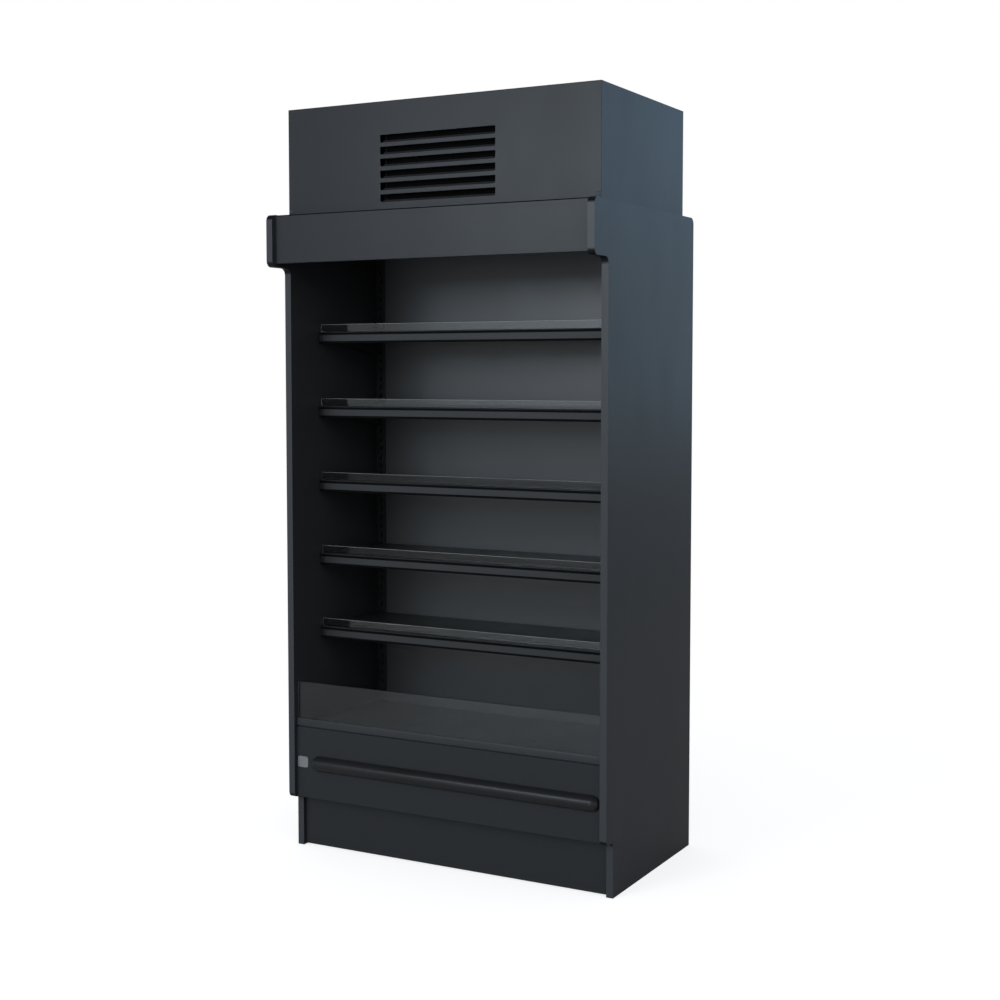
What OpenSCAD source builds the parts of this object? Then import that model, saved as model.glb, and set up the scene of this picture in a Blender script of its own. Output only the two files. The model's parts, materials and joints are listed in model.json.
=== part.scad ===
// Open multideck display fridge: slim upright cabinet with five shelves, an
// overhanging canopy and a louvred plant box on top. X is to the right as seen
// from the shopper's side, Y runs to the rear and Z is up; the origin lies on
// the floor under the middle of the cabinet.

/* [Cabinet] */
// Width over both end panels
body_w = 960; // [760:10:1300]
// Depth from the canopy nose to the rear edges
body_d = 630; // [600:10:760]
// Thickness of an end panel
panel_t = 19; // [12:1:30]
// Height of the end panels
shoulder_h = 1727; // [1727:5:1900]
// Height of the plant box above the end panels
plant_h = 283; // [275:5:360]
// Thickness of folded cover sheet
sheet_t = 1.2; // [0.8:0.1:2]
// Thickness of liner, deck and grille sheet
liner_t = 1.5; // [1:0.1:2]
// Clearance round pieces that come off or move
fit_gap = 0.3; // [0.2:0.05:0.5]

/* [End panel outline] */
// Height of the canopy nose
nose_drop = 138; // [110:1:170]
// How far the nose stands forward of the front posts
nose_reach = 81; // [60:1:110]
// Height of the toe recess
toe_h = 142; // [120:1:170]
// Setback of the toe recess from the front posts
toe_setback = 41; // [25:1:60]
// Radius of the nose corners
nose_r = 17; // [5:1:30]
// Radius of the hollow under the nose
nose_fillet_r = 18; // [5:1:30]
// Radius of the corner above the toe
toe_r = 15; // [5:1:25]
// Radius of the hollow at the toe
toe_fillet_r = 12; // [4:1:20]
// Setback of the front covers from the posts
front_setback = 11; // [4:1:20]
// Setback of the canopy fascia from the nose
fascia_setback = 14; // [4:1:25]

/* [Base] */
// Height from the toe recess up to the insulated base
base_lift = 8; // [6:1:15]
// Thickness of the insulated floor
base_floor_t = 40; // [25:1:60]
// Thickness of the insulated front wall
base_wall_t = 31; // [20:1:45]
// Thickness of the side liners that carry the deck
base_side_t = 12; // [8:1:20]
// Height of the deck's top face
deck_z = 337; // [320:1:370]
// Depth of the sheet lip under the deck's long edges
deck_lip = 14; // [8:1:20]
// Gap all round the deck
deck_gap = 2; // [1:0.5:4]
// Length of the finger slots in the deck
finger_l = 22; // [15:1:30]
// Width of the finger slots
finger_w = 8; // [6:1:12]
// Distance of each finger slot from the middle
finger_x = 191; // [100:1:300]
// Distance of the finger slots behind the deck's front edge
finger_y = 70; // [40:1:120]
// Gap between the front cover and the toe recess
cover_gap = 3; // [1:0.5:6]
// Rise of the front cover's top above the deck
cover_rise = 2; // [0:0.5:4]
// Depth of the top fold of the front cover
cover_top_fold = 6; // [4:1:8]
// Depth of the bottom fold of the front cover
cover_foot_fold = 28; // [15:1:35]
// Depth of the kick plate's folds
kick_fold = 14; // [8:1:25]
// Gap under the kick plate
kick_gap = 3; // [2:0.5:10]

/* [Base frame and feet] */
// Height of the frame beams
beam_h = 55; // [40:1:70]
// Depth of the frame beams
beam_d = 40; // [30:1:50]
// Wall of the frame beams
beam_t = 2.5; // [2:0.5:4]
// Distance of the rear beam from the rear edge
beam_rear_gap = 10; // [6:1:30]
// Width of the two tray rails
rail_w = 20; // [12:1:30]
// Height of the tray rails
rail_h = 20; // [12:1:30]
// Distance of each tray rail from the middle
rail_x = 230; // [180:1:260]
// Radius of a foot pad
foot_r = 19; // [15:1:19]
// Height of a foot pad
foot_h = 8; // [5:1:14]
// Gap between the foot pads and the outer faces of the beams
foot_gap = 1; // [1:0.5:3]
// Radius of a foot stem
stem_r = 6; // [4:0.5:8]
// Radius over the corners of a foot nut
nut_r = 11; // [9:0.5:14]
// Height of a foot nut
nut_h = 8; // [5:1:12]
// Distance of the feet from the end panels
foot_inset = 55; // [40:1:120]
// Height of the condensate tray
tray_h = 56; // [30:1:60]
// Depth of the condensate tray from front to rear
tray_d = 340; // [200:1:360]
// Width of the tray's rim
tray_rim = 16; // [8:1:20]

/* [Bumper and badge] */
// Radius of the half-round bumper
bumper_r = 21; // [12:1:30]
// Height of the bumper's centre
bumper_z = 243; // [215:1:270]
// Gap between the bumper and the left end panel
bumper_left_gap = 54; // [45:1:90]
// Gap between the bumper and the right end panel
bumper_right_gap = 3; // [1:1:40]
// Gap between the badge plate and the left end panel
badge_gap = 4; // [2:1:7]
// Width of the bare badge plate
badge_w = 34; // [20:1:36]
// Height of the badge plate
badge_h = 30; // [20:1:40]
// Thickness of the badge plate
badge_t = 1.5; // [1:0.5:3]
// Corner radius of the badge plate
badge_r = 6; // [2:1:10]

/* [Base riser] */
// Height of the clear base riser above its holder
base_riser_h = 101; // [60:1:130]
// Thickness of the base riser
base_riser_t = 4; // [3:0.5:6]
// Depth of the groove that holds the base riser
groove_d = 16; // [8:1:16]
// Height of the flat face of the riser holder
holder_face_h = 14; // [10:1:20]
// Height of the bevel above that face
holder_bevel_h = 6; // [3:0.5:10]
// Thickness of the holder's front lip
holder_lip_t = 3; // [2:0.5:5]
// Shadow gap under the holder
holder_gap = 4; // [2:0.5:6]
// Thickness of the holder's floor under the groove
holder_floor_t = 4; // [3:0.5:5]
// Gap between the holder's foot and the return air grille
holder_foot_gap = 2; // [1:0.5:8]
// Gap at each end of the base riser
riser_end_gap = 3; // [1:1:8]

/* [Return air grille] */
// Depth of the return air grille
grille_d = 64; // [40:1:80]
// Height of the grille's front lip
grille_lip = 5; // [4:0.5:10]
// Width of a grille slot
grille_slot_w = 8; // [5:1:10]
// Spacing of the grille slots
grille_pitch = 20; // [14:1:30]
// Plain margin round the grille slots
grille_margin = 10; // [6:1:16]

/* [Rear wall] */
// Thickness of the insulated back
back_t = 62; // [40:1:80]
// Inset of the insulated back from the rear edges
back_inset = 1.5; // [1.5:0.5:10]
// Depth of the rear air duct
duct_d = 61; // [40:1:90]
// Width of a pressed bead on the rear skin
bead_w = 24; // [10:1:40]
// Height of a pressed bead
bead_h = 1.2; // [0.5:0.1:1.5]
// Number of pressed beads
bead_count = 5; // [1:1:9]
// Plain margin at each end of a bead
bead_margin = 70; // [40:1:150]
// Width of an air slot behind each shelf
air_slot_w = 24; // [10:1:30]
// Height of an air slot
air_slot_h = 6; // [4:1:8]
// Spacing of the air slots
air_slot_pitch = 40; // [34:1:80]
// Drop of the air slots below the shelf above
air_slot_drop = 18; // [12:1:24]

/* [Uprights and brackets] */
// Width of a slotted upright
upright_w = 30; // [24:1:40]
// Depth of the upright's folds
upright_d = 28; // [18:1:32]
// Wall of the upright
upright_t = 2; // [1.5:0.5:3]
// How far the uprights stand proud of the inner back
upright_proud = 2; // [1:0.5:4]
// Slots in one shelf spacing
slots_per_shelf = 8; // [4:1:8]
// Width of an upright slot
slot_w = 4; // [3.5:0.5:6]
// Height of an upright slot
slot_h = 14; // [12:1:16]
// Thickness of a bracket
bracket_t = 2.5; // [2:0.5:3]
// Height of a bracket at the upright
bracket_h = 62; // [58:1:62]
// Height of a bracket at its nose
bracket_nose_h = 18; // [12:1:30]
// Width of the bracket's top lip
bracket_lip = 12; // [8:1:14]
// Distance of the bracket's nose behind the shelf's front
bracket_nose_gap = 25; // [18:1:60]
// Height of a bracket hook
hook_h = 9; // [7:1:10]

/* [Shelves] */
// Number of shelves
shelf_count = 5; // [5:1:5]
// Height of the lowest shelf's top face
first_shelf_z = 602; // [590:1:620]
// Height of the space between the top shelf and the ceiling
top_space = 218; // [210:1:240]
// Depth of a shelf
shelf_d = 295; // [240:1:300]
// Gap between a shelf and the end panels
shelf_side_gap = 4; // [3:1:8]
// Gap behind a shelf
shelf_rear_gap = 3; // [2:0.5:8]
// Sheet of a shelf
shelf_t = 1.2; // [1:0.1:1.6]
// Height of a shelf's front fold
shelf_front_h = 31; // [28:1:40]
// Depth of the return under the front fold
shelf_return = 13; // [6:1:14]
// Height of a shelf's side and rear folds
shelf_side_h = 18; // [10:1:24]
// Radius of the shelf's front edge
shelf_edge_r = 2.5; // [1:0.5:4]
// Width of the stiffener under a shelf
stiffener_w = 40; // [20:1:60]
// Height of the stiffener
stiffener_h = 11; // [6:1:16]
// Height of a price rail
rail_face_h = 16.5; // [12:0.5:18]
// Depth of a price rail
rail_face_d = 4; // [3:0.5:6]
// Wall of a price rail
rail_face_t = 1.4; // [1:0.1:1.8]
// Drop of the price rail below the shelf's top
rail_drop = 9; // [6:0.5:10]
// Gap between a price rail and the end panels
rail_end_gap = 20; // [6:1:40]
// Height of a clear shelf riser
riser_h = 20; // [12:1:40]
// Thickness of a shelf riser
riser_t = 3; // [2:0.5:4]
// Depth of the riser's foot
riser_foot = 18; // [10:1:25]
// Setback of the riser from the shelf's front
riser_setback = 10; // [6:1:20]
// Gap between a shelf riser and the end panels
riser_side_gap = 3; // [2:0.5:6]

/* [Canopy] */
// Gap between the canopy's top and the top of the end panels
seam_h = 2; // [1:0.5:4]
// Rise of the fascia's lower edge above the nose
fascia_rise = 10; // [4:1:20]
// Depth of the fascia's bottom fold
fascia_foot = 25; // [15:1:35]
// Thickness of the insulated roof
roof_t = 45; // [30:1:50]
// Rise of the ceiling panel above the nose
ceiling_rise = 51; // [40:1:56]
// Depth of the ceiling panel's front fold
ceiling_lip = 24; // [14:1:30]
// Depth of the lamp housing
lamp_d = 44; // [36:1:55]
// Depth of the flat foot of the lamp housing
lamp_foot = 28; // [20:1:32]
// Height of the lamp housing's upright rear face
lamp_rear_h = 22; // [12:1:28]
// Wall of the lamp housing
lamp_t = 3; // [2:0.5:4]
// Depth of the discharge honeycomb from front to rear
comb_d = 61; // [40:1:80]
// Height of the honeycomb
comb_h = 20; // [10:1:24]
// Width of a honeycomb cell across its corners
comb_cell = 16; // [12:1:24]
// Wall between honeycomb cells
comb_wall = 2; // [1.5:0.5:4]
// Rows of honeycomb cells
comb_rows = 3; // [2:1:4]

/* [Plant box] */
// Setback of the plant box behind the canopy fascia
plant_front_setback = 63; // [50:1:90]
// Distance of the plant box from the cabinet's rear edge
plant_rear_setback = 32; // [20:1:50]
// Inset of the plant base plate, which leaves the seam
plant_seam_inset = 10; // [6:1:20]
// Depth of the plant box's inner folds
plant_fold = 16; // [10:1:20]
// Number of front slots
louvre_count = 6; // [4:1:8]
// Length of a front slot
louvre_l = 340; // [200:10:400]
// Height of a front slot
louvre_h = 20; // [12:1:24]
// Spacing of the front slots
louvre_pitch = 30.6; // [26:0.2:32]
// Height of the lowest slot above the end panels
louvre_z = 24; // [20:1:40]
// Radius of the lower slot corners
louvre_r = 5; // [2:0.5:8]
// Depth of the turned-in slot lip
lip_d = 12; // [6:1:16]
// Rise of the turned-in slot lip
lip_rise = 7; // [3:0.5:10]
// Distance of the rear grille from the end panels
rear_grille_side = 251; // [240:1:270]
// Height of the rear grille
rear_grille_h = 210; // [150:10:220]
// Height of the rear grille above the end panels
rear_grille_z = 36; // [30:1:50]
// Border of the rear grille outside its opening
rear_grille_border = 14; // [10:1:20]
// Height of a rear grille slot
rear_slot_h = 8; // [6:1:10]
// Spacing of the rear grille slots
rear_slot_pitch = 15; // [13:1:20]

/* [Condensing unit] */
// Radius of the compressor shell
comp_r = 80; // [60:1:90]
// Height of the compressor shell
comp_h = 158; // [140:1:160]
// Gap between the compressor's suction stub and the suction line
comp_side_gap = 60; // [50:1:65]
// Distance of the compressor behind the middle
comp_y = 95; // [70:1:110]
// Height of the compressor's rubber feet
comp_foot_h = 10; // [6:1:14]
// Width of the condenser
cond_w = 320; // [240:10:330]
// Depth of the condenser
cond_d = 52; // [40:1:56]
// Height of the condenser
cond_h = 226; // [220:2:250]
// Rows of condenser tubes
cond_rows = 6; // [6:1:8]
// Gap between the plant front and the condenser
cond_gap = 32; // [26:1:40]
// Tip radius of the condenser fan
fan_r = 98; // [80:1:98]
// Depth of the condenser fan's blades
fan_d = 24; // [16:1:26]
// Hub radius of the condenser fan
hub_r = 30; // [24:1:38]
// Blades on the condenser fan
fan_blades = 5; // [3:1:7]
// Depth of the fan shroud
shroud_d = 66; // [60:1:70]
// Length of the fan ring behind the shroud's plate
shroud_ring_d = 30; // [20:1:32]
// Radius of the fan motor
motor_r = 36; // [28:1:40]
// Length of the fan motor
motor_l = 52; // [40:1:60]
// Radius of the motor shafts
shaft_r = 4; // [3:0.5:5]
// Running clearance of a fan hub on its shaft
shaft_gap = 0.05; // [0.03:0.01:0.08]
// Clearance between blade tips and ring
tip_gap = 4; // [2:0.5:6]
// Width of the electrical box
ebox_w = 130; // [90:5:140]
// Depth of the electrical box
ebox_d = 120; // [80:5:130]
// Height of the electrical box
ebox_h = 100; // [70:5:120]
// Radius of the liquid pipe
liquid_r = 5; // [3:0.5:6]
// Radius of the insulated suction pipe
suction_r = 9; // [7:0.5:11]
// Radius of the filter drier
drier_r = 14; // [10:1:18]
// Length of the filter drier
drier_l = 110; // [80:5:130]
// Radius of the pipe holes through the roof
pipe_hole_r = 14; // [12:1:18]

/* [Evaporator] */
// Distance of the evaporator's end plates from the liquid line
evap_end_gap = 53; // [53:1:100]
// Depth of the evaporator
evap_d = 120; // [80:1:130]
// Gap between the evaporator and the deck above it
evap_top_gap = 13.5; // [11:0.5:30]
// Rows of evaporator tubes
evap_rows = 4; // [3:1:4]
// Radius of the tubes in both coils
coil_tube_r = 4.5; // [3:0.5:4.5]
// Gap between the fan tray and the evaporator
evap_gap = 48; // [40:1:60]
// Distance of the fan tray behind the deck's front edge
fan_tray_y = 92; // [85:1:110]
// Margin between an evaporator fan's opening and the insulated floor
evap_fan_margin = 6; // [4:1:16]
// Depth of an evaporator fan's blades
evap_fan_d = 18; // [12:1:20]
// Hub radius of an evaporator fan
evap_hub_r = 20; // [16:1:24]
// Radius of an evaporator fan motor
evap_motor_r = 24; // [18:1:28]
// Length of an evaporator fan motor
evap_motor_l = 36; // [30:1:40]
// Distance of each evaporator fan from the evaporator's end plate
evap_fan_inset = 140; // [120:5:180]
// Outer radius of the drain pipe
drain_r = 18; // [12:1:20]
// Distance of the drain behind the deck's front edge
drain_y = 42; // [38:1:50]

/* [Controls] */
// Width of the inlet module
inlet_w = 50; // [44:1:60]
// Height of the inlet module
inlet_h = 70; // [64:1:80]
// Distance of the inlet module from the end panel
inlet_side = 146; // [130:1:160]
// Height of the inlet module above the end panels
inlet_z = 60; // [50:1:80]
// Depth of the inlet module behind the sheet
inlet_d = 24; // [20:1:30]
// Width of the power rocker
rocker_w = 20; // [16:1:24]
// Radius of the power rocker
rocker_r = 6.5; // [5:0.5:8]
// Tilt of the power rocker when it is off
rocker_tilt = 7; // [4:1:9]
// Width of the controller's face
control_w = 78; // [70:1:90]
// Height of the controller's face
control_h = 36; // [32:1:44]
// Depth of the controller behind the sheet
control_d = 40; // [30:1:60]
// Distance of the controller from the end panel
control_side = 146; // [130:1:160]
// Height of the controller above the end panels
control_z = 120; // [90:1:150]
// Radius of the controller's button
button_r = 4.5; // [3:0.5:5]
// Travel of the button
button_travel = 1.5; // [0.5:0.1:2]
// How far the controls stand proud of the sheet
bezel_t = 3; // [2:0.5:4]

/* [Fasteners] */
// Radius of a panel screw's head
screw_r = 4.5; // [3:0.5:6]
// Height of a panel screw's head
screw_h = 1.3; // [0.8:0.1:1.4]
// Distance of the screws from a panel's edges
screw_inset = 14; // [12:1:20]

/* [Hidden] */
$fn = 48;

// Overrun that carries a cut past the face it opens
over = 1;

// Colours
anthracite = [0.24, 0.25, 0.27];
dark_grey = [0.15, 0.16, 0.17];
liner_grey = [0.19, 0.2, 0.21];
steel = [0.62, 0.64, 0.66];
copper = [0.72, 0.45, 0.3];
black = [0.07, 0.07, 0.08];
clear = [0.75, 0.82, 0.86, 0.35];
foam = [0.3, 0.31, 0.33];
silver = [0.7, 0.71, 0.72];

// Planes across the width
side_x = body_w / 2;
wall_x = side_x - panel_t;

// Planes from front to rear
back_y = body_d / 2;
nose_y = -back_y;
post_y = nose_y + nose_reach;
toe_y = post_y + toe_setback;
front_y = post_y + front_setback;
kick_y = toe_y + front_setback;
fascia_y = nose_y + fascia_setback;
back_y1 = back_y - back_inset;
back_y0 = back_y1 - back_t;
liner_y1 = back_y0 - duct_d;
liner_y = liner_y1 - liner_t;
upright_y = liner_y - upright_proud;
shelf_y1 = liner_y - shelf_rear_gap;
shelf_y0 = shelf_y1 - shelf_d;
plant_y0 = fascia_y + plant_front_setback;
plant_y1 = back_y - plant_rear_setback;

// Levels
nose_z = shoulder_h - nose_drop;
body_h = shoulder_h + plant_h;
base_z = toe_h + base_lift;
tub_z = base_z + base_floor_t;
beam_z = base_z - beam_h;
deck_z0 = deck_z - liner_t;
tub_side_z = deck_z0 - fit_gap;
tub_wall_z = deck_z - grille_lip;
cover_z0 = toe_h + cover_gap;
cover_z1 = deck_z + cover_rise;
holder_z = cover_z1 + holder_gap;
holder_z1 = holder_z + holder_face_h + holder_bevel_h;
canopy_z1 = shoulder_h - seam_h;
roof_z1 = canopy_z1 - sheet_t;
roof_z0 = roof_z1 - roof_t;
fascia_z0 = nose_z + fascia_rise;
ceiling_z = nose_z + ceiling_rise;
lid_z0 = body_h - sheet_t;

// Base details
base_front_y = front_y + sheet_t;
base_wall_y = base_front_y + base_wall_t;
riser_y = front_y + holder_lip_t;
groove_z = holder_z1 - groove_d;
grille_y0 = base_wall_y - grille_lip;
grille_y1 = grille_y0 + grille_d;
deck_y0 = grille_y1 + deck_gap / 2;
deck_y1 = upright_y - deck_gap / 2;
deck_x = wall_x - deck_gap;
tub_x = wall_x - base_side_t;
frame_y0 = kick_y + kick_fold;
frame_y1 = back_y - beam_rear_gap;
foot_x = wall_x - foot_inset;
tray_y0 = frame_y0 + beam_d + tray_rim / 2;
tray_z1 = beam_z + rail_h;
drain_at_y = deck_y0 + drain_y;
fan_plate_y = deck_y0 + fan_tray_y;

// Shelf and bracket details
shelf_pitch = (ceiling_z - top_space - first_shelf_z) / (shelf_count - 1);
bracket_x = wall_x - upright_w / 2;
slot_pitch = shelf_pitch / slots_per_shelf;
bracket_drop = shelf_t + fit_gap;
hook_slot_z = first_shelf_z - bracket_drop - slot_pitch;
hook_slots = floor((bracket_h - hook_h) / slot_pitch);
hook_len = 2 * upright_t;
lowest_slot = -ceil((hook_slot_z - tub_side_z - 2 * slot_h) / slot_pitch) + 1;
highest_slot = floor((ceiling_z - hook_slot_z - 2 * slot_h) / slot_pitch);
shelf_x = wall_x - shelf_side_gap;
inner_x = bracket_x - bracket_t / 2 - bracket_lip + bracket_t;
rail_end_x = wall_x - rail_end_gap;
riser_end_x = wall_x - riser_side_gap;

// Canopy details
lamp_y0 = fascia_y + sheet_t;
lamp_y1 = lamp_y0 + lamp_d;
comb_y1 = lamp_y1 + comb_d;
lamp_z0 = fascia_z0 + sheet_t;
comb_pitch = comb_cell * sin(60) + comb_wall;
comb_step = comb_pitch * sin(60);
comb_columns = floor((2 * wall_x - 2 * comb_cell) / comb_pitch);

// Plant details
plate_x = wall_x - plant_seam_inset;
plate_y0 = plant_y0 + plant_seam_inset;
plate_y1 = plant_y1 - plant_seam_inset;
cond_y0 = plant_y0 + cond_gap;
cond_y1 = cond_y0 + cond_d;
cond_cy = cond_y0 + cond_d / 2;
fan_z = shoulder_h + cond_h / 2;
ring_r = fan_r + tip_gap;
ring_y1 = cond_y1 + shroud_d;
ring_y0 = ring_y1 - shroud_ring_d;
fan_y = (ring_y0 + ring_y1) / 2;
motor_y = ring_y1 + tip_gap;
shell_in_x = wall_x - sheet_t;
pipe_y = (liner_y1 + back_y0) / 2 + liquid_r;
liquid_x = wall_x - upright_w - 2 * suction_r - 6 * liquid_r;
suction_x = wall_x - upright_w - 2 * suction_r;
comp_stub = comp_r * 1.1;
comp_x = suction_x - comp_side_gap - comp_stub;
comp_z0 = shoulder_h + comp_foot_h;
comp_z1 = comp_z0 + comp_h;
cond_z0 = shoulder_h + lip_rise;
cond_step = (shoulder_h + cond_h - cond_z0) / cond_rows;
discharge_z = cond_z0 + (cond_rows - 1) * cond_step;

// Evaporator details
evap_w = 2 * (liquid_x - evap_end_gap);
evap_fan_x = evap_w / 2 - evap_fan_inset;
evap_y0 = fan_plate_y + evap_gap;
evap_y1 = evap_y0 + evap_d;
evap_cy = (evap_y0 + evap_y1) / 2;
evap_z0 = tub_z + deck_lip;
evap_z1 = deck_z0 - evap_top_gap;
evap_step = (evap_z1 - evap_z0) / evap_rows;
evap_fan_z = (tub_z + evap_z1) / 2;
evap_ring_r = evap_fan_z - tub_z - evap_fan_margin;
evap_fan_r = evap_ring_r - tip_gap;

// Control details
inlet_x = wall_x - inlet_side;
control_x = wall_x - control_side;
rear_grille_w = 2 * (wall_x - rear_grille_side);
inlet_cz = shoulder_h + inlet_z;
control_cz = shoulder_h + control_z;
rocker_z = inlet_cz + inlet_h / 4;
rocker_y = plant_y1 + bezel_t - rocker_r / 2;
trunnion_r = rocker_r / 5;
button_x = control_x + control_w / 3;

// Shapes that the pieces share

// Box between two opposite corners
module block(a, b) translate(a) cube(b - a);

// Rectangle between two opposite corners
module plate(a, b) translate(a) square(b - a);

// Profile in Y and Z drawn out along X
module along_x(x0, x1) translate([x0, 0, 0]) rotate([90, 0, 90])
    linear_extrude(x1 - x0) children();

// Profile in X and Z drawn out along Y
module along_y(y0, y1) translate([0, y1, 0]) rotate([90, 0, 0])
    linear_extrude(y1 - y0) children();

module both_sides() {
    children();
    mirror([1, 0, 0]) children();
}

// Corner piece that rounds a corner off or fills a hollow one; into points
// from the corner to the arc's centre
module spandrel(at, into, r) translate(at) difference() {
    translate([into[0] > 0 ? -over : -r, into[1] > 0 ? -over : -r]) square(r + over);
    translate(into * r) circle(r);
}

// Half of a disc, towards -X, or a quarter of it where low is 0
module half_disc(r, low = -1) intersection() {
    circle(r);
    plate([-r, low * r], [0, r]);
}

module rounded_plate(w, h, r) difference() {
    square([w, h], center = true);
    for (sx = [-1, 1], sy = [-1, 1]) spandrel([sx * w / 2, sy * h / 2], [-sx, -sy], r);
}

// Slot with round ends, centred, along X
module obround(l, w) {
    square([l - w, w], center = true);
    for (s = [-1, 1]) translate([s * (l - w) / 2, 0]) circle(w / 2);
}

// Straight tube pieces with ball corners
module pipe_run(points, r) {
    for (i = [0 : len(points) - 2]) {
        v = points[i + 1] - points[i];
        translate(points[i]) rotate([0, acos(v[2] / norm(v)), atan2(v[1], v[0])])
            cylinder(h = norm(v), r = r);
    }
    for (i = [1 : len(points) - 2]) translate(points[i]) sphere(r);
}

// Axial fan about Y, centred on the origin, with a blind bore at its rear
blade_angle = 28;
blade_chord_share = 0.62;
module axial_fan(tip_r, hub_r, depth, blades) {
    blade_t = depth / 10;
    chord = tip_r * blade_chord_share;
    difference() {
        rotate([-90, 0, 0]) {
            cylinder(h = depth, r = hub_r, center = true);
            for (k = [0 : blades - 1]) rotate([0, 0, k * 360 / blades]) intersection() {
                translate([(tip_r + hub_r) / 2 - blade_t, 0, 0]) rotate([blade_angle, 0, 0])
                    cube([tip_r - hub_r + 2 * blade_t, chord, blade_t], center = true);
                cylinder(h = 2 * depth, r = tip_r, center = true);
            }
        }
        translate([0, depth / 2 + over, 0]) rotate([90, 0, 0])
            cylinder(h = depth * 0.6 + over, r = shaft_r + shaft_gap);
    }
}

// Finned coil with end plates and return bends, w wide between the plates
fin_pitch_share = 0.03;
module finned_coil(w, y0, y1, z0, z1, foot_z, rows, plate_t) {
    fin_t = plate_t / 2;
    depth = y1 - y0;
    fins = floor(1 / fin_pitch_share);
    pitch = w / fins;
    row_step = (z1 - z0) / rows;
    block([-w / 2, y0 + coil_tube_r, z0 + coil_tube_r],
        [w / 2, y1 - coil_tube_r, z1 - coil_tube_r]);
    for (k = [1 : fins - 1])
        block([-w / 2 + k * pitch - fin_t / 2, y0 + fin_t, z0],
            [-w / 2 + k * pitch + fin_t / 2, y1 - fin_t, z1]);
    both_sides() block([w / 2, y0, foot_z], [w / 2 + plate_t, y1, z1]);
    for (s = [-1, 1], t = [-1, 1], k = [0 : rows - 1])
        translate([s * (w / 2 + plate_t), (y0 + y1) / 2 + t * depth / 4, z0 + (k + 0.5) * row_step])
            rotate([0, 0, -s * 90]) rotate_extrude(angle = 180)
                translate([depth / 8, 0]) circle(coil_tube_r);
}

// End panels

module panel_outline() {
    difference() {
        union() {
            plate([toe_y, 0], [back_y, shoulder_h]);
            plate([post_y, toe_h], [back_y, shoulder_h]);
            plate([nose_y, nose_z], [back_y, shoulder_h]);
            spandrel([post_y, nose_z], [-1, -1], nose_fillet_r);
            spandrel([toe_y, toe_h], [-1, -1], toe_fillet_r);
        }
        spandrel([back_y, shoulder_h], [-1, -1], nose_r);
        spandrel([nose_y, shoulder_h], [1, -1], nose_r);
        spandrel([nose_y, nose_z], [1, 1], nose_r);
        spandrel([post_y, toe_h], [1, 1], toe_r);
    }
}

module right_end_panel() color(anthracite) along_x(wall_x, side_x) panel_outline();

module left_end_panel() color(anthracite) along_x(-side_x, -wall_x) panel_outline();

// Rear wall

module insulated_back() color(foam) {
    block([-wall_x, back_y0, tub_z], [wall_x, back_y1, roof_z0]);
    bead_l = 2 * (wall_x - bead_margin);
    bead_step = (roof_z0 - tub_z) / (bead_count + 1);
    for (k = [1 : bead_count]) translate([0, 0, tub_z + k * bead_step])
        along_y(back_y1, back_y1 + bead_h) obround(bead_l, bead_w);
}

module inner_back_panel() color(liner_grey) {
    inner_w = 2 * (wall_x - upright_w);
    slots = floor((inner_w - 2 * air_slot_pitch) / air_slot_pitch);
    along_y(liner_y, liner_y1) difference() {
        plate([-inner_w / 2, tub_side_z], [inner_w / 2, ceiling_z]);
        for (i = [0 : shelf_count - 1], k = [0 : slots - 1])
            translate([(k - (slots - 1) / 2) * air_slot_pitch,
                first_shelf_z + i * shelf_pitch - air_slot_drop]) obround(air_slot_w, air_slot_h);
    }
}

module uprights() color(dark_grey) both_sides() {
    x0 = wall_x - upright_w;
    along_y(upright_y, upright_y + upright_t) difference() {
        plate([x0, tub_side_z], [wall_x, ceiling_z]);
        for (k = [lowest_slot : highest_slot])
            translate([bracket_x, hook_slot_z + k * slot_pitch])
                square([slot_w, slot_h], center = true);
    }
    block([x0, upright_y, tub_side_z], [x0 + upright_t, upright_y + upright_d, ceiling_z]);
    block([wall_x - upright_t, upright_y, tub_side_z],
        [wall_x, upright_y + upright_d, ceiling_z]);
}

module bracket() {
    y0 = shelf_y0 + bracket_nose_gap;
    along_x(bracket_x - bracket_t / 2, bracket_x + bracket_t / 2) {
        polygon([[upright_y, 0], [y0, 0], [y0, -bracket_nose_h],
            [upright_y, -bracket_h]]);
        for (k = [1 : hook_slots]) translate([upright_y, -k * slot_pitch]) {
            plate([-over, -hook_h / 2], [hook_len + upright_t, hook_h / 2]);
            plate([upright_t + fit_gap, -hook_h], [hook_len + upright_t, hook_h / 2]);
        }
    }
    block([inner_x, y0, -bracket_t], [bracket_x, upright_y, 0]);
}

module shelf_brackets() color(dark_grey)
    for (i = [0 : shelf_count - 1])
        translate([0, 0, first_shelf_z + i * shelf_pitch - bracket_drop])
            both_sides() bracket();

// Base

module base_frame() color(steel) {
    // Front and rear beams, open to the inside
    for (b = [[frame_y0, 1], [frame_y1 - beam_d, -1]])
        along_x(-wall_x, wall_x) difference() {
            plate([b[0], beam_z], [b[0] + beam_d, base_z]);
            translate([b[1] * beam_t, 0])
                plate([b[0], beam_z + beam_t], [b[0] + beam_d, base_z - beam_t]);
        }
    // Side beams
    both_sides() along_y(frame_y0 + beam_t, frame_y1 - beam_t) difference() {
        plate([wall_x - beam_d, beam_z], [wall_x, base_z]);
        plate([wall_x - beam_d - over, beam_z + beam_t], [wall_x - beam_t, base_z - beam_t]);
    }
    // Rails that carry the condensate tray
    both_sides() block([rail_x, frame_y0 + beam_t, beam_z],
        [rail_x + rail_w, frame_y1 - beam_t, beam_z + rail_h]);
}

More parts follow.
